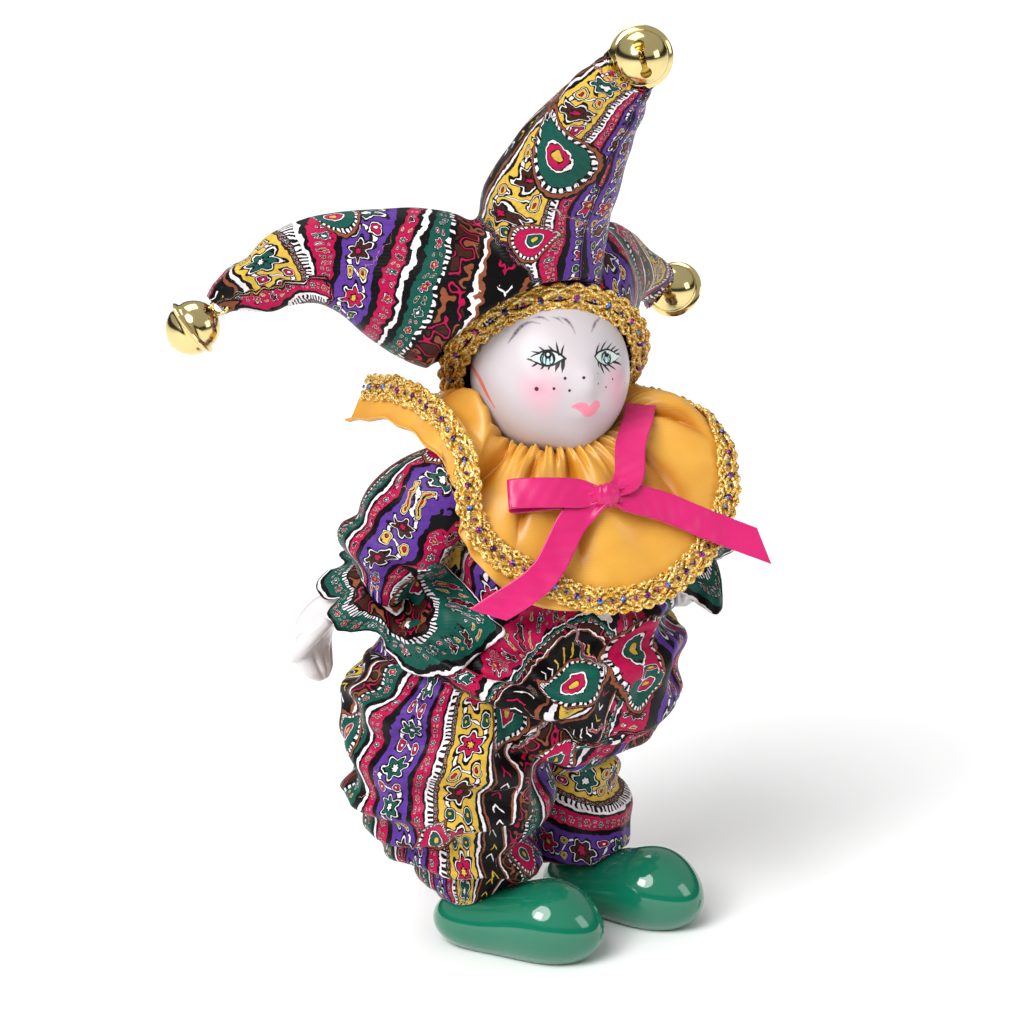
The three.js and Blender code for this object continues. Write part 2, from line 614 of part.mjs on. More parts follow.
// Hat braid: a ring on the band around the face opening
function hatBraid() {
  const inner = BRIM.band + GAP;
  const outer = inner + BRAID_THICKNESS;
  const [back, front] = [-BRAID_WIDTH - 0.5, -0.5];
  const profile = [[inner, back], [outer, back], [outer, front], [inner, front], [inner, back]];
  const ring = new THREE.LatheGeometry(profile.map(([r, y]) => new THREE.Vector2(r, y)), 28);
  ring.rotateX(Math.PI);
  return shape(largest(solid(brimPlaced(ring)).subtract(collarRoom(8, 2 * GAP))));
}

const group = new THREE.Group();
group.position.set(-MIDDLE[0], -MIDDLE[1], 0);
function add(name, geometry, color, roughness = 0.6, metalness = 0) {
  const material = new THREE.MeshStandardMaterial({ color, roughness, metalness });
  const mesh = new THREE.Mesh(geometry, material);
  mesh.name = name;
  group.add(mesh);
}

add('head', head(), 0xe9e2e4, 0.12);
add('right_hand', hand(1), 0xe9e2e4, 0.12);
add('left_hand', hand(-1), 0xe9e2e4, 0.12);
add('right_boot', boot('right'), 0x1f7a5c, 0.1);
add('left_boot', boot('left'), 0x1f7a5c, 0.1);
add('suit', suit(), 0x8a2f56, 0.5);
add('hat', hat(), 0x5a3a78, 0.5);
add('hat_braid', hatBraid(), 0xd9a12b, 0.4, 0.6);
add('collar', collar(), 0xf2b23e, 0.45);
add('collar_braid', collarBraid(), 0xd9a12b, 0.4, 0.6);
add('ribbon', ribbon(), 0xe8198b, 0.35);
for (const [side, place] of Object.entries(BELL_PLACES)) {
  add(`bell_${side}`, bell(...place), 0xe8d8a0, 0.15, 1);
}

export default group;
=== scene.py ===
# A porcelain clown doll in a stuffed suit and horned hat of paisley satin.
import math

import bpy
import numpy as np
from mathutils import Matrix, Vector
from mathutils.bvhtree import BVHTree


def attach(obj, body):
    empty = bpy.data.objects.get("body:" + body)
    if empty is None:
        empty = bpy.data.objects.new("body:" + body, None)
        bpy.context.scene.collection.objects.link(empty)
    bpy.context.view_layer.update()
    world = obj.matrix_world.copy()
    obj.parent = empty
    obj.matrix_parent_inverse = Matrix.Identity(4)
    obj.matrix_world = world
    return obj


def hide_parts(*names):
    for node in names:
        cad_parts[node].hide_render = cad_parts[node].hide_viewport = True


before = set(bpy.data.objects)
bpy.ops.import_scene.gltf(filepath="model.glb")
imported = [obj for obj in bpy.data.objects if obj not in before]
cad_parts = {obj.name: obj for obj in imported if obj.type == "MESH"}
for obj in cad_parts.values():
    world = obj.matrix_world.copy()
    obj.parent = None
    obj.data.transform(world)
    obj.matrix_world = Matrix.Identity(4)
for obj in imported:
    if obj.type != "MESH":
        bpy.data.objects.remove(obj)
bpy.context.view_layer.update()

# Sizes in millimetres, as the solids have them
MIDDLE = np.array([0.5, 2.6, 0.0])
MM = 0.001
HEAD_PLACE = np.array([-1.4, 0.0, 118.0])
HEAD_ACROSS, HEAD_DEEP, HEAD_UP, HEAD_DOWN = 15.8, 16.4, 17.0, 17.4
HEAD_TURN, HEAD_PITCH = -19, -15
NECK_PLACE = (0.2, -2.2)
NECK_RADIUS, NECK_BOTTOM, NECK_TOP = 6.6, 92, 106
TORSO_TURN = -14
SUIT_TOP = 99
ARM_TIE = (37, 9.4, 76.4)
ARM_WAY = (0.36, 0.72, -0.59)
TIE_RADIUS = 4.6
FRILL_RADIUS, FRILL_LOBE, FRILL_REACH, FRILL_LEAN, FRILL_ANGLE = 14.5, 3.4, 6, 3.4, 235
HAT_TURN, HAT_RADIUS = -7, 18.4
BRIM_TILT, BRIM_TURN, BRIM_FORWARD = 31.5, -32, -2.5
BRIM_RADIUS, BRIM_BAND = 19.2, 4.2
BOOT_LENGTH, BOOT_WIDTH, BOOT_HEIGHT = 36.5, 19.0, 15.9
BOOT_TURN = {"right": 24, "left": 15}
BOOT_PLACE = {"right": (-17, -6.8), "left": (11.2, -9.4)}
BELL_RADIUS, BELL_RIM, BELL_WALL = 5.6, 6.1, 0.7
BELL_PLACES = {
    "front": ((-5.1, -27.5, 185.8), (-0.62, -0.66, 0.1)),
    "right": ((-58.6, 41.6, 129.9), (-0.6, 0.5, -0.62)),
    "left": ((59.4, 22.6, 119.2), (0.8, 0.3, -0.5)),
}
FORM = 0.01  # metres for each millimetre while a soft piece is formed, at ten times life size
brim_way = math.radians(BRIM_TURN)
BRIM_PLACE = HEAD_PLACE + BRIM_FORWARD * np.array([math.sin(brim_way), -math.cos(brim_way), 0])

# Directions as the camera has them, which looks from the doll's right front and 18 degrees above
DIAGONAL = 0.7071
RIGHT_IN_PICTURE = np.array([DIAGONAL, -DIAGONAL, 0])
UP_IN_PICTURE = np.array([0.2185, 0.2185, 0.951])
TO_CAMERA = np.array([-0.6725, -0.6725, 0.309])


def bump(x, centre, width):
    return np.exp(-(((x - centre) / width) ** 2))


def smooth(x, low, high):
    f = np.clip((x - low) / (high - low), 0, 1)
    return f * f * (3 - 2 * f)


def turned(points, degrees):
    c, s = math.cos(math.radians(degrees)), math.sin(math.radians(degrees))
    x, y = points[..., 0], points[..., 1]
    return np.stack([x * c - y * s, x * s + y * c, points[..., 2]], -1)


def tilted(points, degrees):
    c, s = math.cos(math.radians(degrees)), math.sin(math.radians(degrees))
    y, z = points[..., 1], points[..., 2]
    return np.stack([points[..., 0], y * c - z * s, y * s + z * c], -1)


def unit(v):
    return v / np.maximum(np.linalg.norm(v, axis=-1, keepdims=True), 1e-9)


def lengths_along(points):
    """Distance along a line of points, at each of them."""
    return np.concatenate([[0], np.cumsum(np.linalg.norm(np.diff(points, axis=0), axis=1))])


def line_at(way, places, points):
    """Points of a line where its own points lie at the given places."""
    return np.stack([np.interp(way, places, points[:, i]) for i in range(3)], -1)


def row_spline(rows):
    """A smooth curve through rows of numbers, asked by a share from 0 to 1."""
    rows = np.array(rows, float)

    def at(share):
        place = np.asarray(share, float) * (len(rows) - 1)
        k = np.clip(np.floor(place).astype(int), 0, len(rows) - 2)
        f = (place - k)[..., None]
        a, b, d, e = (rows[np.clip(k + i, 0, len(rows) - 1)] for i in (-1, 0, 1, 2))
        m0, m1 = (d - a) / 2, (e - b) / 2
        f2, f3 = f**2, f**3
        return (2 * f3 - 3 * f2 + 1) * b + (f3 - 2 * f2 + f) * m0 + (3 * f2 - 2 * f3) * d + (f3 - f2) * m1

    return at


def level_loft(rows, sides, steps, turn=0.0, fold=None):
    """Level rings: each row is a height, a place in x and y, and half a width and half a depth."""
    t = np.linspace(0, 1, steps + 1)[:, None]
    a = np.linspace(0, 2 * math.pi, sides + 1)[None, :]
    z, x, y, across, deep = (v[..., None] for v in np.moveaxis(row_spline(rows)(t[:, 0]), -1, 0))
    extra = fold(t, a) if fold else 0.0
    flat = np.stack([(across + extra) * np.cos(a), (deep + extra) * np.sin(a), 0 * t * a], -1)
    return turned(flat, turn) + np.stack([x + 0 * a, y + 0 * a, z + 0 * a], -1)


def spine_loft(rows, sides, steps, fold=None, across=None):
    """Rings square to a spine: each row is a place, half a width across and half a height."""
    at = row_spline(rows)
    t = np.linspace(0, 1, steps + 1)
    a = np.linspace(0, 2 * math.pi, sides + 1)[None, :, None]
    row = at(t)
    along = unit(at(np.minimum(t + 0.01, 1))[:, :3] - at(np.maximum(t - 0.01, 0))[:, :3])
    side = np.cross((0, 0, 1), along) if across is None else across - along * (along @ across)[:, None]
    side[np.linalg.norm(side, axis=1) < 0.05] = (1, 0, 0)
    side = unit(side)
    up = np.cross(along, side)
    extra = fold(t[:, None], a[..., 0])[..., None] if fold else 0.0
    return (
        row[:, None, :3]
        + side[:, None] * (row[:, None, 3:4] + extra) * np.cos(a)
        + up[:, None] * (row[:, None, 4:5] + extra) * np.sin(a)
    )


def deselect():
    if bpy.context.object and bpy.context.object.mode != "OBJECT":
        bpy.ops.object.mode_set(mode="OBJECT")
    bpy.ops.object.select_all(action="DESELECT")


def pick(piece):
    deselect()
    piece.select_set(True)
    bpy.context.view_layer.objects.active = piece


def edit(piece):
    pick(piece)
    bpy.ops.object.mode_set(mode="EDIT")
    bpy.ops.mesh.select_all(action="SELECT")


def done():
    bpy.ops.object.mode_set(mode="OBJECT")


def coords(piece):
    co = np.empty(len(piece.data.vertices) * 3)
    piece.data.vertices.foreach_get("co", co)
    return co.reshape(-1, 3)


def place(piece, co):
    piece.data.vertices.foreach_set("co", np.ascontiguousarray(co, dtype=np.float32).reshape(-1))
    piece.data.update()


def normals_of(piece):
    normals = np.empty(len(piece.data.vertices) * 3)
    piece.data.vertices.foreach_get("normal", normals)
    return normals.reshape(-1, 3)


def in_mm(piece):
    """The points of a soft piece that is being formed, in millimetres."""
    return coords(piece) / FORM + MIDDLE


def set_mm(piece, points, scale=FORM):
    place(piece, (points - MIDDLE) * scale)


def merged(piece, distance):
    """Merges points that lie together and turns the faces outwards."""
    edit(piece)
    bpy.ops.mesh.remove_doubles(threshold=distance)
    bpy.ops.mesh.normals_make_consistent(inside=False)
    done()


def surface(name, points, uv=None, scale=MM, weld=0.0):
    """A grid whose points are set on a formed surface: rows, columns, xyz in millimetres."""
    rows, columns = points.shape[:2]
    deselect()
    bpy.ops.mesh.primitive_grid_add(x_subdivisions=columns - 1, y_subdivisions=rows - 1, size=1)
    piece = bpy.context.object
    piece.name = piece.data.name = name
    set_mm(piece, points.reshape(-1, 3), scale)
    if uv is not None:
        ends = np.empty(len(piece.data.loops), np.int32)
        piece.data.loops.foreach_get("vertex_index", ends)
        piece.data.uv_layers[0].data.foreach_set("uv", uv.reshape(-1, 2)[ends].astype(np.float32).reshape(-1))
    if weld:
        merged(piece, weld * scale)
    return piece


def closed(points):
    """Ends a tube of rings with a point at each end."""
    first, last = points[:1].mean(1, keepdims=True), points[-1:].mean(1, keepdims=True)
    return np.concatenate([np.repeat(first, points.shape[1], 1), points, np.repeat(last, points.shape[1], 1)])


def joined(name, pieces):
    deselect()
    for piece in pieces:
        piece.select_set(True)
    bpy.context.view_layer.objects.active = pieces[0]
    if len(pieces) > 1:
        bpy.ops.object.join()
    pieces[0].name = pieces[0].data.name = name
    return pieces[0]


def modify(piece, kind, **settings):
    pick(piece)
    modifier = piece.modifiers.new(kind.title(), kind)
    for key, value in settings.items():
        setattr(modifier, key, value)
    bpy.ops.object.modifier_apply(modifier=modifier.name)
    return piece


def smooth_shaded(piece):
    piece.data.shade_smooth()
    return piece


def attribute(piece, name, values):
    values = np.asarray(values, np.float32)
    kind, key = ("FLOAT", "value") if values.ndim == 1 else ("FLOAT_VECTOR", "vector")
    layer = piece.data.attributes.new(name, kind, "POINT")
    layer.data.foreach_set(key, values.reshape(-1))


def chest_point(right, back, z):
    c, s = math.cos(math.radians(TORSO_TURN)), math.sin(math.radians(TORSO_TURN))
    return np.array([NECK_PLACE[0] - right * c - back * s, NECK_PLACE[1] - right * s + back * c, z])


def arm_frame(side):
    r, b, z = ARM_TIE
    tie = chest_point(side * r, b, z)
    way = unit(chest_point(side * (r + ARM_WAY[0]), b + ARM_WAY[1], z + ARM_WAY[2]) - tie)
    level = unit(np.cross((0, 0, 1), way))
    return tie, way, level, np.cross(way, level)


# Collar surface: s from the gathered neck edge to the rim, t round the neck
RIM = np.array(
    [[-23.4, 28.6, 113], [-24.2, 18.6, 115.2], [-25.4, 8.9, 114], [-26.3, 0.9, 110.9], [-27.1, -4, 106.6],
     [-29.6, -5.8, 98.7], [-29.8, -8.4, 92], [-27.7, -11.9, 87], [-17.1, -22.5, 80.2], [-4.4, -31, 80.4],
     [7.6, -33.1, 86.5], [18.6, -29.9, 96.2], [24.1, -22.3, 104.8], [26, -10, 106.4], [27, 4, 105.4],
     [22, 17, 104.6], [12, 25, 105.6], [-1, 28, 106.6], [-12, 26, 107.6]]
)
COLLAR_RISE = [[-1], [-1], [1], [5], [5.5], [4.5], [6], [8], [9], [7], [5]]
collar_rise = row_spline(COLLAR_RISE)


def centripetal(points, samples):
    """Samples of the rounded curve through points, with knots spaced by the root of each distance."""
    found = []
    last = len(points) - 1
    for share in np.linspace(0, last, samples):
        i = min(int(share), last - 1)
        w = share - i
        p1, p2 = points[i], points[i + 1]
        p0 = points[i - 1] if i else 2 * points[0] - points[1]
        p3 = points[i + 2] if i + 2 <= last else 2 * points[last] - points[last - 1]
        d0, d1, d2 = (max(np.linalg.norm(b - a) ** 0.5, 1e-4) for a, b in ((p0, p1), (p1, p2), (p2, p3)))
        t1 = ((p1 - p0) / d0 - (p2 - p0) / (d0 + d1) + (p2 - p1) / d1) * d1
        t2 = ((p2 - p1) / d1 - (p3 - p1) / (d1 + d2) + (p3 - p2) / d2) * d1
        square, cube = -3 * p1 + 3 * p2 - 2 * t1 - t2, 2 * p1 - 2 * p2 + t1 + t2
        found.append(p1 + t1 * w + square * w**2 + cube * w**3)
    return np.array(found)


rim_points = centripetal(RIM, 3601)
rim_way = lengths_along(rim_points)
RIM_LENGTH = rim_way[-1]


def rim_at(t):
    return line_at(np.clip(t, 0, 1) * RIM_LENGTH, rim_way, rim_points)


def collar_point(s, t):
    s, t = np.broadcast_arrays(np.asarray(s, float), np.asarray(t, float))
    a = np.radians(-152 + 320 * t)
    radius = 12.4 + 0.8 * np.cos(a)
    root = np.stack(
        [HEAD_PLACE[0] + radius * np.sin(a), HEAD_PLACE[1] - radius * np.cos(a), 102 + 3.6 * np.cos(a)], -1
    )
    p = root + (rim_at(t) - root) * s[..., None]
    p[..., 2] += 4 * collar_rise(np.clip(t, 0, 1))[..., 0] * s * (1 - s)
    return p


def collar_normal(s, t):
    e = 0.01
    across = collar_point(s + e, t) - collar_point(s - e, t)
    along = collar_point(s, np.minimum(t + e, 1)) - collar_point(s, np.maximum(t - e, 0))
    return unit(np.cross(across, along))


def on_collar(s, t, lift):
    return collar_point(s, t) + collar_normal(s, t) * np.asarray(lift)[..., None]


collar_s, collar_t = np.meshgrid(np.linspace(-0.04, 1.1, 40), np.linspace(0, 1, 200))
collar_grid = collar_point(collar_s, collar_t)
grid_ids = np.arange(collar_s.size).reshape(collar_s.shape)
collar_quads = np.stack(
    [grid_ids[:-1, :-1], grid_ids[:-1, 1:], grid_ids[1:, 1:], grid_ids[1:, :-1]], -1
).reshape(-1, 4)
collar_tree = BVHTree.FromPolygons(collar_grid.reshape(-1, 3).tolist(), collar_quads.tolist())
collar_normals = collar_normal(collar_s, collar_t).reshape(-1, 3)


def clear_of_collar(points, gap, under, reach):
    """Moves points that come too near the collar to the side they belong on."""
    moved = points.copy()
    sign = -1 if under else 1
    for i, p in enumerate(points):
        spot, normal, face, far = collar_tree.find_nearest(Vector(p), reach)
        if spot is None:
            continue
        out = collar_normals[collar_quads[face][0]]
        height = float(np.dot(p - np.array(spot), out))
        aside = math.sqrt(max(far * far - height * height, 0))
        if aside < 1.2 and sign * height < gap:
            moved[i] = p + out * (sign * gap - height)
    return moved


BEND, PULL = 0.45, 0.42  # how much of a curl and of a thread's wrong length goes in one round


def settle(piece, cut, hold, rounds, limit):
    """Buckles a cloth skin: its threads want the lengths that they have in a larger cut of the same cloth.

    The filling keeps the skin near its shape, hold is 1 where the cloth is tied or covered, and no point
    moves further than the limit in millimetres.
    """
    mesh = piece.data
    start = coords(piece)
    count = len(start)
    ends = np.empty(len(mesh.edges) * 2, np.int32)
    mesh.edges.foreach_get("vertices", ends)
    threads = ends.reshape(-1, 2)
    corners = np.array([p.vertices[:] for p in mesh.polygons if len(p.vertices) == 4])
    pairs = np.concatenate([threads, corners[:, [0, 2]], corners[:, [1, 3]]])
    a, b = pairs.T
    cut = (cut - MIDDLE) * FORM
    want = np.linalg.norm(cut[a] - cut[b], axis=1)
    share = np.concatenate([np.full(len(threads), 0.5), np.full(len(pairs) - len(threads), 0.25)])
    weight = np.bincount(a, share, count) + np.bincount(b, share, count)
    ring = np.bincount(threads[:, 0], minlength=count) + np.bincount(threads[:, 1], minlength=count)

    def spread(values):
        """The sum of each point's neighbours."""
        ahead, behind = values[threads[:, 1]], values[threads[:, 0]]
        return np.bincount(threads[:, 0], ahead, count) + np.bincount(threads[:, 1], behind, count)

    normals = normals_of(piece)
    noise = np.random.default_rng(1).normal(size=count)
    for _ in range(6):
        noise = spread(noise) / ring
    noise /= noise.std()
    x = start + normals * (noise * 0.1 * FORM)[:, None]
    free = (1 - hold)[:, None]
    for _ in range(rounds):
        d = x[b] - x[a]
        length = np.maximum(np.linalg.norm(d, axis=1), 1e-9)
        pull = d * (share * (length - want) / length)[:, None]
        move = [np.bincount(a, pull[:, i], count) - np.bincount(b, pull[:, i], count) for i in range(3)]
        x += np.stack(move, -1) / weight[:, None] * PULL
        away = x - start
        curl = away
        for _ in range(2):
            curl = np.stack([spread(curl[:, i]) for i in range(3)], -1) / ring[:, None] - curl
        x = start + (away - BEND * curl) * free
    # the even swelling comes off, so that only the wrinkles stay
    move = x - start
    swollen = (move * normals).sum(1)
    for _ in range(30):
        swollen = spread(swollen) / ring
    move -= normals * (swollen + 0.2 * FORM * (1 - hold))[:, None]
    far = np.linalg.norm(move, axis=1, keepdims=True)
    place(piece, start + move * np.minimum(1, limit * FORM / np.maximum(far, 1e-9)))


# Suit
HIP_FOLD = [[-33, 9, 68, 1.4, 1.2], [-35.2, 1.4, 65.8, 3, 2.6], [-33.2, -5.6, 63, 3.8, 3.4],
            [-29.4, -10.4, 60.8, 4, 3.8], [-25.8, -15.6, 59.6, 4, 4], [-21, -19, 57, 3.8, 4],
            [-15, -20, 52, 2, 2]]
LEGS = {
    "right": [[8, -18, 4.2, 7.4, 6.9], [12, -18.2, 4.2, 10, 9.6], [17, -19, 4.8, 12.6, 12.2],
              [24, -22, 5.8, 16.6, 15.6], [33, -23.8, 5.8, 20.6, 18.6], [44, -24.2, 5.8, 22, 19.6],
              [56, -23.4, 6.6, 20.8, 18.6], [66, -20, 6.6, 17, 15], [76, -14, 4, 12, 10]],
    "left": [[10.5, 8.6, 1.4, 8.5, 7.5], [15, 8.6, 1.4, 11, 10], [22, 8.2, 1.6, 11.8, 10.8],
             [29, 7, 2.2, 10.6, 10], [36, 5.4, 3.2, 10, 10], [43, 4.6, 3.6, 13, 14],
             [52, 4, 3.6, 15, 16], [66, 2, 2, 13, 12]],
}
BODY = [[39, -3.4, -3, 12, 11], [44, -3.6, -4, 20, 18], [51, -3.8, -5, 24, 22], [60, -3.8, -5, 25.4, 23],
        [70, -3, -4, 24.4, 21.4], [80, -1.8, -3, 22, 18.5], [89, -0.5, -2.4, 20, 14.5],
        [95, 0, -2.2, 16, 11.5], [SUIT_TOP, 0.2, -2.2, 9.5, 8.5]]
SLEEVE = [[12, 0, 95, 8, 8], [21, 2, 97, 9.6, 9.2], [28.5, 5.4, 93.5, 10.8, 10.4],
          [33.4, 8.2, 87, 10.6, 10.6], [36, 9.2, 80.6, 7.6, 7.6]]


GUSSET = [[21, 4, 88, 4.5], [24, 7, 78, 6], [25, 8, 68, 5.5]]


def leg(side):
    def pleats(t, a):
        near = np.exp(-((t / 0.2) ** 2))
        fine = np.cos(13 * a + 2 * np.sin(2 * a)) + 0.5 * np.cos(21 * a + 1 + np.sin(3 * a))
        return 0.75 * near * fine

    rings = level_loft(LEGS[side], 96, 80, fold=pleats)
    hem = rings[:1].mean(1, keepdims=True)
    inner = ((0.35, 3.4), (0.86, 3.0), (0.93, 0.4))
    turn_in = [hem + (rings[:1] - hem) * size + np.array([0, 0, up]) for size, up in inner]
    return surface("leg", closed(np.concatenate(turn_in + [rings])), scale=FORM, weld=0.01)


def sleeve(side):
    placed = [[*chest_point(right * side, back, z), a, b] for right, back, z, a, b in SLEEVE]
    placed.append([*chest_point(ARM_TIE[0] * side, ARM_TIE[1], ARM_TIE[2]), TIE_RADIUS, TIE_RADIUS])
    tie, way, _, _ = arm_frame(side)
    placed.append([*(tie + way * 1.2), TIE_RADIUS * 0.8, TIE_RADIUS * 0.8])

    def pleats(t, a):
        return 0.8 * np.exp(-(((t - 0.86) / 0.16) ** 2)) * (np.cos(11 * a) + 0.5 * np.cos(17 * a + 2))

    return surface("sleeve", closed(spine_loft(placed, 72, 70, pleats)), scale=FORM, weld=0.01)


def gusset(side):
    """Loose cloth under the arm."""
    placed = [[*chest_point(right * side, back, z), radius, radius] for right, back, z, radius in GUSSET]
    return surface("gusset", closed(spine_loft(placed, 40, 30)), scale=FORM, weld=0.01)


suit_parts = [
    gusset(1),
    gusset(-1),
    surface("body", closed(level_loft(BODY, 96, 70, TORSO_TURN)), scale=FORM, weld=0.01),
    surface("fold", closed(spine_loft(HIP_FOLD, 40, 60)), scale=FORM, weld=0.01),
    leg("right"),
    leg("left"),
    sleeve(1),
    sleeve(-1),
]
suit = joined("suit_cloth", suit_parts)
modify(suit, "REMESH", mode="VOXEL", voxel_size=1.4 * FORM, adaptivity=0)
modify(suit, "SMOOTH", factor=0.5, iterations=3)


def boot_ring(t):
    bend = np.maximum(np.sqrt(np.maximum(1 - (2 * t - 1) ** 4, 0)), 0.12)
    toe, heel = bump(t, 0.72, 0.34), bump(t, 0.1, 0.28)
    half = BOOT_WIDTH / 2 * (0.62 + 0.38 * toe + 0.16 * heel) * bend
    tall = BOOT_HEIGHT * (0.6 + 0.4 * toe + 0.14 * heel)
    return half, tall * 0.44, tall * 0.56 * bend


def clear_of_boots(points, gap):
    for side in ("right", "left"):
        x, y = BOOT_PLACE[side]
        local = turned(points - np.array([x, y, 0]), -BOOT_TURN[side])
        t = 0.5 - local[:, 1] / BOOT_LENGTH
        half, middle, tall = boot_ring(np.clip(t, 0, 1))
        lift = local[:, 2] - middle
        near = np.sqrt((local[:, 0] / (half + gap)) ** 2 + (lift / (tall + gap)) ** 2)
        inside = (near < 1) & (t > 0) & (t < 1)
        grow = np.where(inside, 1 / np.maximum(near, 0.2), 1)
        local[:, 0] *= grow
        local[:, 2] = middle + lift * grow
        points = np.where(inside[:, None], turned(local, BOOT_TURN[side]) + np.array([x, y, 0]), points)
    return points


set_mm(suit, clear_of_collar(in_mm(suit), 2.8, True, 8))
modify(suit, "SMOOTH", factor=0.4, iterations=2)
start = in_mm(suit)
height = start[:, 2]


def seen_from_camera(points, axis):
    """Angle about an upright axis, from the side that faces the camera, growing to the right."""
    d = points - np.array([axis[0], axis[1], 0])
    return np.arctan2((d[:, 0] - d[:, 1]) * DIAGONAL, -(d[:, 0] + d[:, 1]) * DIAGONAL)


def lay_print(points):
    """Where each point of the suit lies on the cloth: across its bands, along them, and in which panel."""
    z = points[:, 2]
    around = seen_from_camera(points, (-23, 5.5))
    right_leg = np.stack([20.6 + 21 * around - 0.009 * (z - 35) ** 2, -z - 2 * around, 0 * z], -1)
    around = seen_from_camera(points, (7, 3))
    left_leg = np.stack([10.3 + (z - 20) * 1.0 + 3 * np.sin(around), 12 * around, 0 * z + 1], -1)
    around = seen_from_camera(points, (-3, -4)) * 24
    across, up = around - 1.4, z - 58.5
    near, far = 0.59 * across + 0.81 * up, 0.81 * across - 0.59 * up
    ring = np.hypot(near / 1.45, far)
    bands = np.interp(
        ring, [0, 5, 9.6, 10.6, 12, 19, 22, 31, 60], [24.5, 28.5, 33, 34.5, 45.2, 47.8, 48.6, 56, 85]
    )
    body = np.stack([bands, 12 * np.arctan2(near, far), 0 * z + 2], -1)
    low = 57 + 8 * smooth(around, -8, -26) - 6 * smooth(around, -8, 4)
    at_right = (points[:, 0] + 0.35 * points[:, 1] < -7)[:, None]
    laid = np.where((z < low)[:, None], np.where(at_right, right_leg, left_leg), body)
    for side in (1, -1):
        placed = np.array(
            [chest_point(right * side, back, up) for right, back, up, _, _ in SLEEVE] + [arm_frame(side)[0]]
        )
        fine = line_at(np.linspace(0, 5, 60), np.arange(6), placed)
        far = np.linalg.norm(points[:, None] - fine[None], axis=2)
        best = far.argmin(1)
        along = best / 59 * 42
        on_sleeve = (far.min(1) < 13.5) & (best > 14) & ((points - fine[best])[:, 2] > -14)
        around = seen_from_camera(points - fine[best], (0, 0))
        value = np.stack([10.4 + 10.5 * around, along + 3 * around, 0 * z + 3], -1)
        laid = np.where(on_sleeve[:, None], value, laid)
    return laid


NO_DROP = 9.0


def lay_drops(points, normals, placed, spacing):
    """Each point's place on the nearest large teardrop: across, along and which colours, or NO_DROP."""
    across = points @ RIGHT_IN_PICTURE
    up = (points - np.array([0, 0, 90])) @ UP_IN_PICTURE
    drops = []
    for x, y, length, heading, kind in placed:
        off = np.hypot(across - x, up - y)
        near = np.nonzero(off < max(1.2, off.min() + 0.1))[0]
        drops.append((near[(points[near] @ TO_CAMERA).argmax()], length, heading, kind))
    far = np.full(len(points), 1e9)
    for index, _, _, _ in drops:
        far = np.minimum(far, np.linalg.norm(points - points[index], axis=1))
    chance = np.random.default_rng(7)
    while far.max() > spacing:
        index = int(far.argmax())
        drops.append((index, chance.uniform(9, 14), chance.uniform(0, 360), float(chance.integers(0, 2))))
        far = np.minimum(far, np.linalg.norm(points - points[index], axis=1))
    laid = np.full((len(points), 3), NO_DROP)
    best = np.full(len(points), NO_DROP)
    for index, length, heading, kind in drops:
        normal = normals[index]
        level = unit(np.cross((0, 0, 1), normal) + 1e-6)
        rise = np.cross(normal, level)
        c, s = math.cos(math.radians(heading)), math.sin(math.radians(heading))
        tail = level * c + rise * s
        away = points - points[index]
        local = np.stack([away @ np.cross(tail, normal), away @ tail], -1) / (length / 2)
        share = np.linalg.norm(away, axis=1) / (length / 2)
        here = (share < 2.2) & (share < best)
        laid[here] = np.stack([local[here, 0], local[here, 1], np.full(here.sum(), kind)], -1)
        best = np.where(here, share, best)
    return laid


# The teardrops that the photo shows: place in the picture from the doll's middle, length, heading and colours
SUIT_DROPS = [
    (4.1, -35.4, 14, 185, 0), (17.9, -30, 20, 50, 1), (19.5, -36, 11, 25, 0), (-9.9, -44.8, 12, 115, 0),
    (1.5, -50, 12, 80, 1), (-27, -17, 13, 60, 0),
]
HAT_DROPS = [(-0.5, 65.5, 19, 120, 0), (-4.5, 50, 11, 30, 1)]
attribute(suit, "print", lay_print(start))
attribute(suit, "drop", lay_drops(start, normals_of(suit), SUIT_DROPS, 23))
cut = start.copy()
cut[:, 2] *= 1.6
cut[:, :2] *= 1.24
hold = smooth(height, 12.5, 9.5)
hold = np.maximum(hold, smooth(height, 90, 97))
near_collar = np.array([collar_tree.find_nearest(Vector(p), 5)[0] is not None for p in start])
hold = np.maximum(hold, near_collar * 0.9)
for side in (1, -1):
    tie = arm_frame(side)[0]
    hold = np.maximum(hold, smooth(np.linalg.norm(start - tie, axis=1), 7.5, 4))
settle(suit, cut, hold, rounds=420, limit=5)
set_mm(suit, clear_of_boots(clear_of_collar(in_mm(suit), 3.0, True, 8), 0.4), MM)
modify(suit, "SUBSURF", levels=1, render_levels=1)
smooth_shaded(suit)


def laid_over(body, points, share):
    """Lifts a flap of cloth off the body beneath it, towards the viewer, where it would sink into it."""
    tree = BVHTree.FromObject(body, bpy.context.evaluated_depsgraph_get())
    outside, clearance, highest = 60, 1, 16
    start = ((points - MIDDLE) * MM + TO_CAMERA * (outside * MM)).reshape(-1, 3)
    lift = np.zeros(len(start))
    for i, p in enumerate(start):
        far = tree.ray_cast(Vector(p), Vector(-TO_CAMERA), 2 * outside * MM)[3]
        if far is not None:
            lift[i] = outside + clearance - far / MM
    lift = np.clip(lift, 0, highest).reshape(points.shape[:2]) * share
    for _ in range(14):
        above, below = np.vstack([lift[:1], lift[:-1]]), np.vstack([lift[1:], lift[-1:]])
        around = np.roll(lift, 1, 1) + np.roll(lift, -1, 1) + above + below
        lift = np.maximum(lift, around / 4) * share**0.1
    return points + TO_CAMERA * lift[..., None]


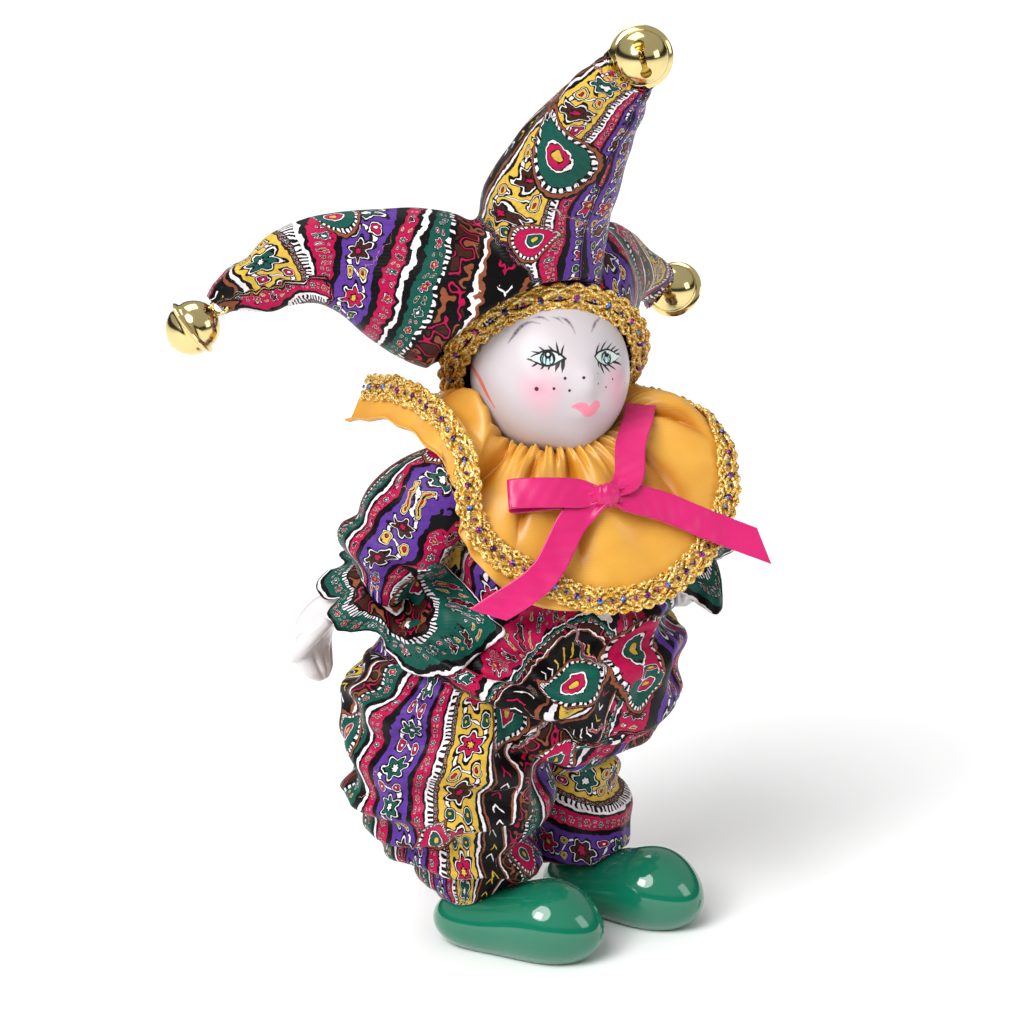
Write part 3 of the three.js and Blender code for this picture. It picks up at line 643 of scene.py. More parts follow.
def cuff(side):
    """A frill of the suit's cloth; the right one has a wide flap that hangs over the suit."""
    t = np.linspace(0, 1, 28)[:, None]
    a = np.linspace(0, 2 * math.pi, 241)[None, :]
    out = a if side > 0 else math.pi - a
    tie, way, level, lift = arm_frame(side)
    lobe = np.cos(out - math.radians(FRILL_ANGLE))
    hang = np.maximum(np.cos(out - math.radians(215)), 0) ** 1.5
    wave = -4.5 * np.maximum(np.cos(out + 0.45), 0) ** 2 * t
    wave = wave + np.cos(5 * out + 0.7) * 1.9 * t + np.cos(3 * out) * 1.2 * t
    wave = wave + 3.0 * hang * t - 3.0 * np.maximum(-lobe, 0) * t
    fine = np.cos(17 * out + 2 * np.sin(2 * out)) * 0.55 * t * (1.2 - t)
    full = FRILL_RADIUS + FRILL_LOBE * lobe
    radius = TIE_RADIUS + (full - TIE_RADIUS) * t**0.75 + wave + fine
    along = -0.6 + (FRILL_REACH - FRILL_LEAN * lobe) * t + np.cos(5 * out + 2) * 1.4 * t
    along = along + 1.0 * t * np.sin(9 * out + 1) + 0.5 * t * np.sin(14 * out)
    points = (
        tie
        + way * along[..., None]
        + level * (radius * np.cos(a))[..., None]
        + lift * (radius * np.sin(a))[..., None]
    )
    forward = np.array([-0.6725 * side, -0.6725, 0.2]) * (12 * hang * smooth(t, 0.05, 0.8))[..., None]
    if side > 0:
        forward = forward + np.array([6.2, -6.2, 1.6]) * (
            np.maximum(np.cos(out - math.radians(205)), 0) ** 0.7 * smooth(t, 0.05, 0.7)
        )[..., None]
    points = points + forward
    if side > 0:
        points = laid_over(suit, points, smooth(hang, 0.02, 0.2) * smooth(t, 0.05, 0.3))
    piece = surface("cuff", points)
    bands = np.interp(t, [0, 0.25, 0.36, 0.82, 1], [34.5, 39.4, 40.4, 43.3, 45.3])
    laid = np.stack([bands + 0 * a, 13 * a + 0 * t, 0 * a * t], -1)
    attribute(piece, "print", laid.reshape(-1, 3))
    attribute(piece, "drop", np.full((laid.size // 3, 3), NO_DROP))
    merged(piece, 0.02 * MM)
    modify(piece, "SOLIDIFY", thickness=0.45 * MM, offset=-1)
    return smooth_shaded(piece)


suit = joined("suit_cloth", [suit, cuff(1), cuff(-1)])

# Hat
HORNS = {
    "front": (0, [[-2, 124, 12, 11], [-4, 138, 13.6, 13], [-2, 150, 13.6, 12.4], [3, 159, 12.6, 11.4],
                  [9, 167.5, 10.4, 9.6], [14.5, 174, 8.6, 8], [20, 179.5, 7.4, 6.6], [25, 183, 5.6, 5],
                  [28, 184.6, 1.6, 1.4]]),
    "right": (-120, [[0, 124, 13, 13], [12, 131, 14, 14.6], [22, 135, 12.6, 15.6], [31, 138.6, 10.6, 14],
                     [39, 141.4, 8.8, 10.6], [46, 142.6, 7.4, 8.6], [52, 141.6, 6.6, 7.6],
                     [57, 139.4, 5.4, 6.2], [63.5, 136.6, 3.8, 4.2], [67.5, 133, 1.6, 1.6]]),
    "left": (120, [[0, 124, 13, 13], [12, 130, 13, 14], [22, 131, 11, 12.4], [31, 131, 9, 10],
                   [39, 130, 7.4, 8], [46, 128.4, 6.2, 6.8], [52, 126, 5.4, 6], [57, 123.4, 4.6, 5],
                   [61.5, 120.6, 3.4, 3.6], [64.5, 118, 1.6, 1.6]]),
}


def horn_rows(name):
    angle, rows = HORNS[name]
    a = math.radians(HAT_TURN + angle)
    return [
        [HEAD_PLACE[0] + out * math.sin(a), HEAD_PLACE[1] - out * math.cos(a), z, sideways, upright]
        for out, z, sideways, upright in rows
    ]


def brim_frame(points):
    """Distance in front of the face opening's plane, and the two distances within it."""
    local = tilted(turned(points - BRIM_PLACE, -BRIM_TURN), -BRIM_TILT)
    return -local[..., 1], local[..., 0], local[..., 2]


def from_brim(front, across, up):
    local = np.stack([across, -front, up], -1)
    return turned(tilted(local, BRIM_TILT), BRIM_TURN) + BRIM_PLACE


def horn_fold(t, a):
    return (0.5 + 0.6 * t) * np.cos(3 * a + 5 * t) * (1 - np.exp(-((t / 0.3) ** 2)))


lat = np.linspace(-90, 90, 49)[:, None] * math.pi / 180
lon = np.linspace(0, 2 * math.pi, 97)[None, :]
cap = HEAD_PLACE + np.stack(
    [
        HAT_RADIUS * np.cos(lat) * np.cos(lon), 1.03 * HAT_RADIUS * np.cos(lat) * np.sin(lon),
        1.05 * HAT_RADIUS * np.sin(lat) + 0 * lon,
    ], -1
)
band_depth = np.array([-12, -12, 3, 3.0])[:, None]
band_reach = np.array([4, BRIM_RADIUS, BRIM_RADIUS, 4])[:, None]
band = from_brim(band_depth + 0 * lon, band_reach * np.cos(lon), band_reach * np.sin(lon))
hat_parts = [surface("cap", cap, scale=FORM, weld=0.01), surface("band", closed(band), scale=FORM, weld=0.01)]
for name in HORNS:
    horn = closed(spine_loft(horn_rows(name), 84, 100, horn_fold))
    hat_parts.append(surface(name, horn, scale=FORM, weld=0.01))
hat = joined("hat_cloth", hat_parts)
modify(hat, "REMESH", mode="VOXEL", voxel_size=1.2 * FORM, adaptivity=0)
modify(hat, "SMOOTH", factor=0.5, iterations=3)
start = in_mm(hat)
front, across, up = brim_frame(start)
reach = np.hypot(across, up)
limit = np.where(reach > BRIM_RADIUS + 0.1, 18 * smooth(reach, 20, 33) - BRIM_BAND, 99)
start = from_brim(np.minimum(front, limit), across, up)
for spot, way in BELL_PLACES.values():
    gone = start - np.array(spot)
    far = np.linalg.norm(gone, axis=1, keepdims=True)
    start = np.where(far < BELL_RIM + 0.7, np.array(spot) + gone / far * (BELL_RIM + 0.7), start)
set_mm(hat, clear_of_collar(start, 1.1, False, 6))
modify(hat, "SMOOTH", factor=0.4, iterations=2)
edit(hat)
opening, normal = from_brim(0.0, 0.0, 0.0), from_brim(1.0, 0.0, 0.0) - from_brim(0.0, 0.0, 0.0)
bpy.ops.mesh.select_all(action="DESELECT")
done()
front, across, up = brim_frame(in_mm(hat))
near = (np.hypot(across, up) < BRIM_RADIUS + 0.6) & (front > -3)
for face in hat.data.polygons:
    face.select = all(near[list(face.vertices)])
bpy.ops.object.mode_set(mode="EDIT")
bpy.ops.mesh.bisect(plane_co=(opening - MIDDLE) * FORM, plane_no=normal, clear_outer=True, threshold=0.0001)
done()
start = in_mm(hat)
front, across, up = brim_frame(start)


def lay_hat_print(points):
    nearest = np.full(len(points), 1e9)
    laid = np.zeros((len(points), 3))
    for name in HORNS:
        fine = row_spline(horn_rows(name))(np.linspace(0, 1, 120))
        way = lengths_along(fine[:, :3])
        gaps = np.linalg.norm(points[:, None] - fine[None, :, :3], axis=2)
        best = gaps.argmin(1)
        share = gaps.min(1) / fine[best, 4]
        away = points - fine[best, :3]
        length = way[-1] - way[best]
        if name == "front":
            around = seen_from_camera(away, (0, 0))
            value = np.stack([31 - (around + 1.57) * 10, length + 2 * around, 0 * length + 10], -1)
            right_panel = np.stack([12.5 - (around - 0.75) * 9, length, 0 * length + 12], -1)
            value = np.where((around > 0.75)[:, None], right_panel, value)
        else:
            angle = math.radians(HAT_TURN + HORNS[name][0])
            aside = away @ np.array([math.cos(angle), math.sin(angle), 0])
            turn = np.arctan2(away[:, 2], aside)
            if name == "right":
                value = np.stack([33.2 - 0.8 * length, 9 * turn, 0 * length + 14], -1)
                under = away[:, 2] + 0.3 * fine[best, 4] - 0.1 * np.maximum(14 - length, 0)
                strip = np.stack([12 - under, length, 0 * length + 16], -1)
                value = np.where(((under < 0) & (length < 27))[:, None], strip, value)
            else:
                value = np.stack([1.5 + 0.9 * length, 9 * turn, 0 * length + 18], -1)
        laid = np.where((share < nearest)[:, None], value, laid)
        nearest = np.minimum(share, nearest)
    return laid


attribute(hat, "print", lay_hat_print(start))
attribute(hat, "drop", lay_drops(start, normals_of(hat), HAT_DROPS, 27))
cut = HEAD_PLACE + (start - HEAD_PLACE) * 1.13
hold = smooth(front, -8, -4)
hold = np.maximum(hold, smooth(np.linalg.norm(start - HEAD_PLACE, axis=1), 24, 20))
for spot, way in BELL_PLACES.values():
    hold = np.maximum(hold, smooth(np.linalg.norm(start - np.array(spot), axis=1), 12, 8.5))
settle(hat, cut, hold, rounds=380, limit=3)
set_mm(hat, clear_of_collar(in_mm(hat), 0.9, False, 6), MM)
modify(hat, "SUBSURF", levels=1, render_levels=1)
modify(hat, "SOLIDIFY", thickness=0.6 * MM, offset=-1)
a = np.linspace(0, 2 * math.pi, 361)[None, :]
t = np.linspace(0, 1, 9)[:, None]
ruck = 0.25 * np.cos(31 * a + 2 * np.sin(3 * a)) * t
reach = BRIM_RADIUS - 0.1 - 2.5 * t + ruck
lip_points = from_brim(-0.2 - 1.1 * t + ruck, reach * np.sin(a), reach * np.cos(a))
lip = surface("lip", lip_points)
attribute(lip, "print", np.stack([30 + 3 * t + 0 * a, 19 * a + 0 * t, 0 * a * t], -1).reshape(-1, 3))
attribute(lip, "drop", np.full((a.size * t.size, 3), NO_DROP))
modify(lip, "SOLIDIFY", thickness=0.5 * MM, offset=0)
hat = joined("hat_cloth", [hat, lip])
smooth_shaded(hat)


# Head
def head_surface(latitude, face):
    """Points of the head for degrees up and degrees to its left."""
    nose = 1.5 * bump(face, 0, 9) * bump(latitude, -8, 11)
    cheeks = 0.7 * (bump(face, 30, 17) + bump(face, -30, 17)) * bump(latitude, -14, 14)
    eyes = -0.7 * (bump(face, 25, 11) + bump(face, -25, 11)) * bump(latitude, 7, 9)
    mouth = 0.5 * bump(face, 0, 12) * bump(latitude, -28, 7)
    chin = 0.9 * bump(face, 0, 26) * bump(latitude, -58, 15)
    jaw = np.where(latitude < 0, 1 - 0.13 * (latitude / 90) ** 2, 1)
    out = 1 + (nose + cheeks + eyes + mouth + chin) / HEAD_ACROSS
    tall = np.where(latitude < 0, HEAD_DOWN, HEAD_UP)
    la, lon = np.radians(latitude), np.radians(face)
    local = np.stack(
        [
            HEAD_ACROSS * np.cos(la) * np.sin(lon) * jaw * out, -HEAD_DEEP * np.cos(la) * np.cos(lon) * out,
            tall * np.sin(la) * out,
        ],
        -1,
    )
    return turned(tilted(local, HEAD_PITCH), HEAD_TURN) + HEAD_PLACE


def steps(*spans):
    """Steps of a row: each span is where it ends and how many steps it has."""
    found = [spans[0]]
    for end, count in spans[1:]:
        found.extend(np.linspace(found[-1], end, count + 1)[1:])
    return np.array(found)


head_lat, head_lon = np.meshgrid(
    steps(-90, (-36, 20), (44, 190), (90, 16)), steps(-180, (-106, 22), (-60, 60), (46, 250), (180, 34)),
    indexing="ij",
)
head_points = head_surface(head_lat, head_lon)
flat = head_points.reshape(-1, 3)
UNPAINTED = -9.0


def painted(strokes, bold=1.0):
    """How far each point of the head lies inside the nearest of the brush strokes, in millimetres."""
    found = np.full(len(flat), -1.0)
    for line, half, start_thin, end_thin in strokes:
        line = np.array(line, float)
        smooth_line = centripetal(np.column_stack([line, 0 * line[:, 0]]), 4 * len(line))
        spots = head_surface(smooth_line[:, 1], smooth_line[:, 0])
        t = np.linspace(0, 1, len(spots))
        starting = 1 - start_thin * (1 - smooth(t, 0, 0.35))
        ending = 1 - end_thin * smooth(t, 0.45, 1)
        widths = half * bold * starting * ending
        middle = spots.mean(0)
        reach = np.linalg.norm(spots - middle, axis=1).max() + 1
        near = np.nonzero(np.linalg.norm(flat - middle, axis=1) < reach)[0]
        p = flat[near]
        for a, b, wa, wb in zip(spots[:-1], spots[1:], widths[:-1], widths[1:]):
            d = b - a
            f = np.clip((p - a) @ d / (d @ d), 0, 1)
            gap = np.linalg.norm(p - a - f[:, None] * d, axis=1)
            found[near] = np.maximum(found[near], wa + (wb - wa) * f - gap)
    return found


def dots(spots):
    """How far each point lies inside the nearest of some round spots."""
    found = np.full(len(flat), UNPAINTED)
    for lon, lat, radius in spots:
        middle = head_surface(np.array(float(lat)), np.array(float(lon)))
        found = np.maximum(found, radius - np.linalg.norm(flat - middle, axis=1))
    return found


def filled(outline):
    """How far each point lies inside a closed outline on the head."""
    corners = np.array(outline, float)
    size = np.array([0.276 * math.cos(math.radians(corners[:, 1].mean())), 0.3])
    corners = corners * size
    p = np.stack([head_lon.reshape(-1), head_lat.reshape(-1)], -1) * size
    inside = np.zeros(len(p), bool)
    gap = np.full(len(p), 9.0)
    for a, b in zip(corners, np.roll(corners, -1, 0)):
        d = b - a
        f = np.clip((p - a) @ d / (d @ d), 0, 1)
        gap = np.minimum(gap, np.linalg.norm(p - a - f[:, None] * d, axis=1))
        crosses = (a[1] > p[:, 1]) != (b[1] > p[:, 1])
        inside ^= crosses & (p[:, 0] < a[0] + (p[:, 1] - a[1]) / (d[1] + 1e-12) * d[0])
    return np.where(inside, gap, -gap)


# The painted face in degrees round and up the head: strokes with half a width in mm and how they thin out
LIDS = [
    ([(-39, 12.8), (-33.8, 14.8), (-29.5, 16), (-25.2, 16.2), (-21, 15), (-17.2, 12.5), (-13.8, 9.2)],
     0.17, 0.5, 0),
    ([(-42, 11.8), (-38.5, 10.5), (-34.5, 8.5), (-31, 6.8), (-27.2, 5.8), (-23, 6.2), (-18.5, 8),
      (-13.8, 9.2)], 0.15, 0.5, 0),
    ([(9, 8.2), (13.2, 10.5), (19, 11.5), (24.8, 11.8), (29.8, 10), (34, 7.5), (38.2, 6)], 0.15, 0, 0.5),
    ([(9, 8), (11, 5), (14.5, 2.5), (19.5, 1.2), (27.8, 2.5), (34.8, 4.5)], 0.13, 0, 0.5),
]
LASHES = [
    ((-32.2, 15.2), (-35.8, 16), (-39.8, 17), 0.1), ((-32.2, 14.8), (-35.8, 14.2), (-39, 13.5), 0.1),
    ((-28.2, 16), (-31, 18.2), (-33.2, 20), 0.1), ((-21.8, 15.5), (-24, 17.8), (-26, 20), 0.1),
    ((-18.2, 12.5), (-18.8, 17.2), (-19, 22.5), 0.13), ((-16.5, 11.8), (-15.2, 15.5), (-12.8, 19.5), 0.12),
    ((-38.5, 10.8), (-40.5, 11.5), (-42.2, 12), 0.12), ((-34.5, 8.5), (-37, 7.2), (-39.5, 6.2), 0.13),
    ((-29.8, 6.8), (-31.5, 5), (-33.2, 3.8), 0.12), ((-26, 5.8), (-26.8, 4.2), (-27.8, 2.8), 0.12),
    ((-20.2, 6.8), (-21.2, 4), (-22.5, 1), 0.18), ((-15.8, 8.2), (-16.5, 4.5), (-17.8, 0.2), 0.24),
    ((-18.8, 7.5), (-19.8, 5), (-21.2, 2.8), 0.16), ((10.5, 9.2), (13, 13), (17.2, 17), 0.13),
    ((16, 11), (20.5, 14.8), (26.8, 18.2), 0.12), ((23.5, 11.8), (27.8, 13.8), (32.5, 15.8), 0.1),
    ((28.8, 10.8), (32.2, 12), (36.8, 13.2), 0.1), ((31.5, 9.2), (35, 10), (39.5, 10.5), 0.11),
    ((34, 7.2), (36.2, 7.5), (38.5, 7.8), 0.1), ((11, 4.8), (10.5, 2.2), (11.2, -0.5), 0.11),
    ((12.5, 3.5), (13.5, -0.8), (15, -5), 0.16), ((15.8, 1.8), (18.8, -1.2), (21.5, -4.2), 0.15),
    ((21.5, 1.2), (25.2, -1), (28.2, -3.5), 0.13), ((28.2, 2.5), (32.8, 1.2), (36.5, -0.8), 0.16),
]
RAYS = [
    ((-29.2, 14.5), (-30.5, 10.8), (-30.2, 7.2), 0.09), ((-27.5, 12.8), (-28.2, 9.8), (-28.8, 6.2), 0.1),
    ((-25.2, 12.8), (-25.2, 9.5), (-25.5, 5.8), 0.1), ((-22.8, 13.2), (-22.5, 10), (-23, 7), 0.1),
    ((17.8, 9.5), (15.5, 6.5), (15.2, 2.8), 0.08), ((20.5, 7.8), (18.8, 4.5), (17.8, 1.8), 0.09),
    ((24, 7.8), (23.2, 4.8), (20.8, 1.2), 0.08), ((27.2, 8.2), (26.8, 5.5), (24.5, 2.5), 0.07),
]
BROWS = [
    ([(-57.2, 23.8), (-52.2, 29.8), (-45.8, 35.8), (-38.5, 38), (-30, 36)], 0.2, 0.6, 0.7),
    ([(-36, 41.5), (-27.8, 40.8), (-21.8, 37.2)], 0.13, 0.6, 0.7),
    ([(-19, 40.2), (-13.5, 38.2), (-10, 33.8)], 0.11, 0.6, 0.7),
    ([(-12.2, 39.5), (-6.5, 36.5), (-3.5, 31), (-2.5, 25)], 0.15, 0.6, 0.7),
    ([(12.2, 25), (20.8, 31.2), (36.8, 36)], 0.14, 0.6, 0.5),
    ([(36, 33), (46, 35.5), (54, 33), (60, 28)], 0.15, 0.6, 0.7),
]
FRECKLES = [
    (-36.8, -8, 0.44), (-24.8, -9, 0.3), (-14, -11.5, 0.3), (-16.2, -3.5, 0.32), (-4, -4.2, 0.34),
    (7.2, -9.2, 0.21), (15.5, -12.5, 0.21), (22, -8, 0.21), (8.2, -3, 0.14), (36.8, -11.8, 0.14),
]
IRISES = [(-26.8, 10.8, 1.42), (21.5, 6.2, 1.19)]
PUPILS = [(-26.2, 13.2, 0.74), (22.5, 8.6, 0.62)]
GLINTS = [(-26.2, 13.6, 0.3), (24.2, 10.0, 0.26), (-24.4, 8.4, 0.22), (20.4, 3.8, 0.18)]
EYES = [
    [(-40.8, 12), (-33.8, 14.8), (-26, 16.2), (-18.8, 13.8), (-13.8, 9.2), (-18.5, 8.2), (-27.2, 6),
     (-34.5, 8.8)],
    [(9.2, 8.2), (16, 11.2), (24.8, 11.8), (33, 8.2), (36.8, 6), (27.8, 2.5), (19, 1.2), (12.2, 4.2)],
]
LIPS = [
    (-14.2, -22.5), (-10.2, -20.8), (-6, -19.8), (-1.8, -20.8), (1.2, -23.5), (4, -20.8), (7.2, -20),
    (10.2, -21.5), (12, -24.2), (10.8, -26.2), (7.2, -29.5), (2.5, -31.2), (-2.5, -30), (-6.2, -26.8),
    (-10.2, -24.2),
]
white = np.maximum(filled(EYES[0]), filled(EYES[1]))
iris = np.minimum(dots(IRISES), white + 0.05)
ring = np.minimum(dots([(lon, lat, radius + 0.14) for lon, lat, radius in IRISES]), white + 0.1)
ring = np.where(iris > 0.2, -1, ring)
ink = np.maximum(painted(LIDS, 1.35), painted([([a, b, c], half, 0, 0.8) for a, b, c, half in LASHES], 1.75))
rays = np.minimum(painted([([a, b, c], half, 0, 0.5) for a, b, c, half in RAYS], 1.7), white)
ink = np.maximum(np.maximum(ink, rays), np.minimum(dots(PUPILS), white + 0.05))
ink = np.maximum(ink, ring)
head = surface("head_glazed", head_points)
attribute(head, "eye", np.stack([white, iris, dots(GLINTS)], -1))
attribute(head, "line", np.stack([ink, painted(BROWS, 2.8), dots(FRECKLES)], -1))
stripe = painted([([(-102, 10.5), (-86.8, 0.5), (-80.8, -9.5), (-76.8, -18.5)], 0.6, 0.2, 0.7)])
# its third part is painted shade: grey-green spots at the inner corners of the eyes, beside the nose
attribute(head, "lip", np.stack([filled(LIPS), stripe, dots([(-18, 9, 1.2), (9, 6, 1.0)])], -1))
attribute(
    head, "cheek",
    np.stack([dots([(-34.8, -9, 5.2)]), dots([(27.5, -12.2, 4.6)]), dots([(-33.8, -24, 3.4)])], -1),
)
merged(head, 0.005 * MM)
deselect()
neck_x, neck_y = NECK_PLACE[0] - MIDDLE[0], NECK_PLACE[1] - MIDDLE[1]
bpy.ops.mesh.primitive_cylinder_add(
    vertices=64, radius=NECK_RADIUS * MM, depth=(NECK_TOP - NECK_BOTTOM) * MM,
    location=(neck_x * MM, neck_y * MM, (NECK_TOP + NECK_BOTTOM) / 2 * MM),
)
neck = bpy.context.object
bpy.ops.object.transform_apply(location=True, rotation=True, scale=True)
for name in ("eye", "line", "lip", "cheek"):
    attribute(neck, name, np.full((len(neck.data.vertices), 3), UNPAINTED))
head = smooth_shaded(joined("head_glazed", [head, neck]))

# Collar
def visible_collar(s, t):
    """The gathered collar: its inner edge lies against the head, and it sags at the open end."""
    at = np.maximum(s, 0)
    points = collar_point(at, t)
    normal = collar_normal(at, t)
    root = collar_point(0 * at, t)
    away = unit(root[..., :2] - HEAD_PLACE[:2])
    facing = -(away[..., 0] + away[..., 1]) * DIAGONAL
    height = 107.3 - 1.1 * facing + np.minimum(s, 0) * 9
    drop = (HEAD_PLACE[2] - height) / 17.4
    radius = 16.3 * np.sqrt(np.maximum(1 - drop**2, 0)) + 0.5
    edge = np.concatenate([HEAD_PLACE[:2] + away * radius[..., None], height[..., None]], -1)
    points = points + (edge - root) * (1 - smooth(s, 0, 0.6))[..., None]
    points[..., 2] += 11.5 * bump(t, 0.085, 0.11) * bump(s, 0.36, 0.27) * (s > 0)
    sag = smooth(t, 0.22, 0.02) * bump(s, 0.62, 0.3)
    points[..., 2] -= 4.2 * sag
    points[..., :2] += away * (2.8 * sag)[..., None]
    pleat = np.cos(2 * math.pi * 34 * t + 1.7 * np.sin(2 * math.pi * 5 * t))
    pleat = np.where(pleat > 0, 0.5 * pleat, pleat) + 0.35 * np.cos(2 * math.pi * 71 * t + 3 * s)
    broad = np.sin(2 * math.pi * 8 * t + 1.4 * np.sin(2 * math.pi * 2 * t + 1) + 1.2 * s)
    deep = (1 - np.abs(np.sin(math.pi * 10 * t + 0.8 * np.sin(2 * math.pi * 3 * t + 0.6) + 0.5 * s))) ** 2.5
    gathers = 0.95 * pleat * np.exp(-((np.maximum(s, 0) / 0.24) ** 2))
    crease_and_shade = gathers - 2.9 * deep * smooth(s, 0.04, 0.3) * smooth(s, 0.95, 0.55)
    edge_waves = 0.35 * np.sin(2 * math.pi * 27 * t) * smooth(s, 0.85, 1.08)
    lift = -0.4 + crease_and_shade + 1.2 * broad * bump(s, 0.5, 0.32) + edge_waves
    points = points + normal * lift[..., None]
    points[..., 2] += 5.5 * smooth(t, 0.24, 0.1) * smooth(s, 0.55, 0.95)
    roll = smooth(t, 0.27, 0.14) * np.clip((s - 0.88) / 0.22, 0, 1.35)
    points[..., 2] -= 9.5 * roll
    points[..., :2] += away * (1.2 * roll)[..., None]
    hang = smooth(t, 0.26, 0.12) * np.maximum(s - 1.03, 0) / 0.25
    points[..., 2] -= 4.0 * hang
    points[..., :2] -= away * (3.4 * hang)[..., None]
    return points, crease_and_shade


tucked_in, shown_part = np.linspace(-0.3, 0, 9)[:-1], np.linspace(0, 1.1, 70)
s, t = np.meshgrid(np.concatenate([tucked_in, shown_part]), np.linspace(0, 1, 600))
# the plain margin beyond the braid is wide at the open end and narrow under the bow
margin = 1 + 1.7 * smooth(t, 0.26, 0.1) - 0.5 * smooth(t, 0.3, 0.38) * smooth(t, 0.64, 0.54)
s = np.where(s > 1.0, 1.0 + (s - 1.0) * margin, s)
points, crease_and_shade = visible_collar(s, t)
collar = surface("collar_satin", points)
# the depth of the folds is kept so that the material can paint shade into the satin's creases
attribute(collar, "crease_and_shade", crease_and_shade.reshape(-1))
modify(collar, "SOLIDIFY", thickness=0.35 * MM, offset=-1)
smooth_shaded(collar)


# Boots
def boot(side):
    t = 0.5 - 0.5 * np.cos(np.linspace(0, math.pi, 97))[:, None]
    a = np.linspace(0, 2 * math.pi, 129)[None, :]
    half, middle, tall = boot_ring(t)
    height = np.maximum(middle + tall * np.sin(a), 0)
    local = np.stack([half * np.cos(a), -(t - 0.5) * BOOT_LENGTH + 0 * a, height], -1)
    points = turned(local, BOOT_TURN[side]) + np.array([*BOOT_PLACE[side], 0])
    return smooth_shaded(surface(side + "_boot_glazed", closed(points), weld=0.005))


boot_right, boot_left = boot("right"), boot("left")


# Hands
def hand(side):
    tie, way, level, lift = arm_frame(side)
    rows = [
        [-4, 0, 3, 3], [7, 0.2, 3, 3], [11.5, 1.4, 3.4, 3.0], [15.5, 1.8, 4.7, 3.4], [19.5, 0.6, 5.7, 3.5],
        [22.3, -1.9, 5.8, 3.2], [23.7, -5, 5.1, 2.8], [24.3, -8, 3.7, 2.2], [24.5, -9.8, 1.4, 1.0],
    ]
    placed = [[*(tie + way * along + lift * rise), wide, thick] for along, rise, wide, thick in rows]

    def fingers(t, a):
        grooves = np.exp(-(((np.cos(a)[..., None] - np.array([-0.52, 0.0, 0.52])) / 0.09) ** 2)).sum(-1)
        return -0.75 * smooth(t, 0.6, 0.8) * grooves

    palm = surface("palm", closed(spine_loft(placed, 96, 90, fingers, level)), weld=0.005)
    thumb_rows = [[14, 2.4, 1.6], [17, 4.8, 1.9], [20, 5.4, 1.7], [22.6, 5, 0.7]]
    thumb = []
    for along, across, radius in thumb_rows:
        p = tie + way * along + level * across * side
        thumb.append([p[0], p[1], p[2] - (along - 14) * 0.5, radius, radius])
    thumb = surface("thumb", closed(spine_loft(thumb, 32, 24, None, level)), weld=0.005)
    piece = joined("hand_glazed", [palm, thumb])
    modify(piece, "REMESH", mode="VOXEL", voxel_size=0.25 * MM, adaptivity=0)
    modify(piece, "SMOOTH", factor=0.5, iterations=8)
    piece.name = ("right" if side > 0 else "left") + "_hand_glazed"
    return smooth_shaded(piece)


hand_right, hand_left = hand(1), hand(-1)


# Bells: a crimped ball with a slot that ends in two round holes, and a wire loop
def bell():
    deselect()
    bpy.ops.mesh.primitive_uv_sphere_add(
        segments=72, ring_count=60, radius=BELL_RADIUS * MM, rotation=(math.pi / 2, 0, 0),
    )
    bpy.ops.object.transform_apply(location=True, rotation=True, scale=True)
    ball = bpy.context.object
    co = coords(ball) / MM
    reach = np.hypot(co[:, 0], co[:, 2])
    crimp = (BELL_RIM - BELL_RADIUS + 0.3) * np.exp(-((co[:, 1] / 0.42) ** 4)) - 0.3
    groove = -0.12 * bump(np.abs(co[:, 1]), 1.0, 0.3)
    co[:, [0, 2]] *= ((reach + (crimp + groove) * (reach > 1)) / np.maximum(reach, 1e-6))[:, None]
    place(ball, co * MM)
    modify(ball, "SOLIDIFY", thickness=BELL_WALL * MM, offset=-1)
    deselect()
    bpy.ops.mesh.primitive_cube_add(
        size=1, location=(0, -BELL_RADIUS * MM, 0), scale=(5.2 * MM, BELL_RADIUS * MM, 1.1 * MM),
    )
    cutters = [bpy.context.object]
    for end in (-1, 1):
        bpy.ops.mesh.primitive_cylinder_add(
            vertices=32, radius=1.1 * MM, depth=BELL_RADIUS * MM, rotation=(math.pi / 2, 0, 0),
            location=(end * 2.6 * MM, -BELL_RADIUS * MM, 0),
        )
        cutters.append(bpy.context.object)
    for cutter in cutters:
        modify(ball, "BOOLEAN", operation="DIFFERENCE", object=cutter, solver="EXACT")
        bpy.data.objects.remove(cutter)
    deselect()
    bpy.ops.mesh.primitive_torus_add(
        major_radius=1.5 * MM, minor_radius=0.42 * MM, major_segments=36, minor_segments=14,
        location=(0, (BELL_RADIUS + 1.1) * MM, 0),
    )
    loop = bpy.context.object
    bpy.ops.object.transform_apply(location=True, rotation=True, scale=True)
    made = joined("bell", [ball, loop])
    pick(made)
    bpy.ops.object.shade_smooth_by_angle(angle=math.radians(35))
    return made


bell_model = bell()
bells = {}
for name, (spot, way) in BELL_PLACES.items():
    piece = bell_model.copy()
    piece.data = bell_model.data.copy()
    piece.name = piece.data.name = "jingle_bell_" + name
    bpy.context.scene.collection.objects.link(piece)
    spin = Matrix.Rotation(math.radians(78 if name == "front" else 20), 4, "Y")
    turn = Vector((0, -1, 0)).rotation_difference(Vector(way)).to_matrix().to_4x4()
    piece.data.transform(Matrix.Translation((Vector(spot) - Vector(MIDDLE)) * MM) @ turn @ spin)
    bells[name] = piece
bpy.data.objects.remove(bell_model)


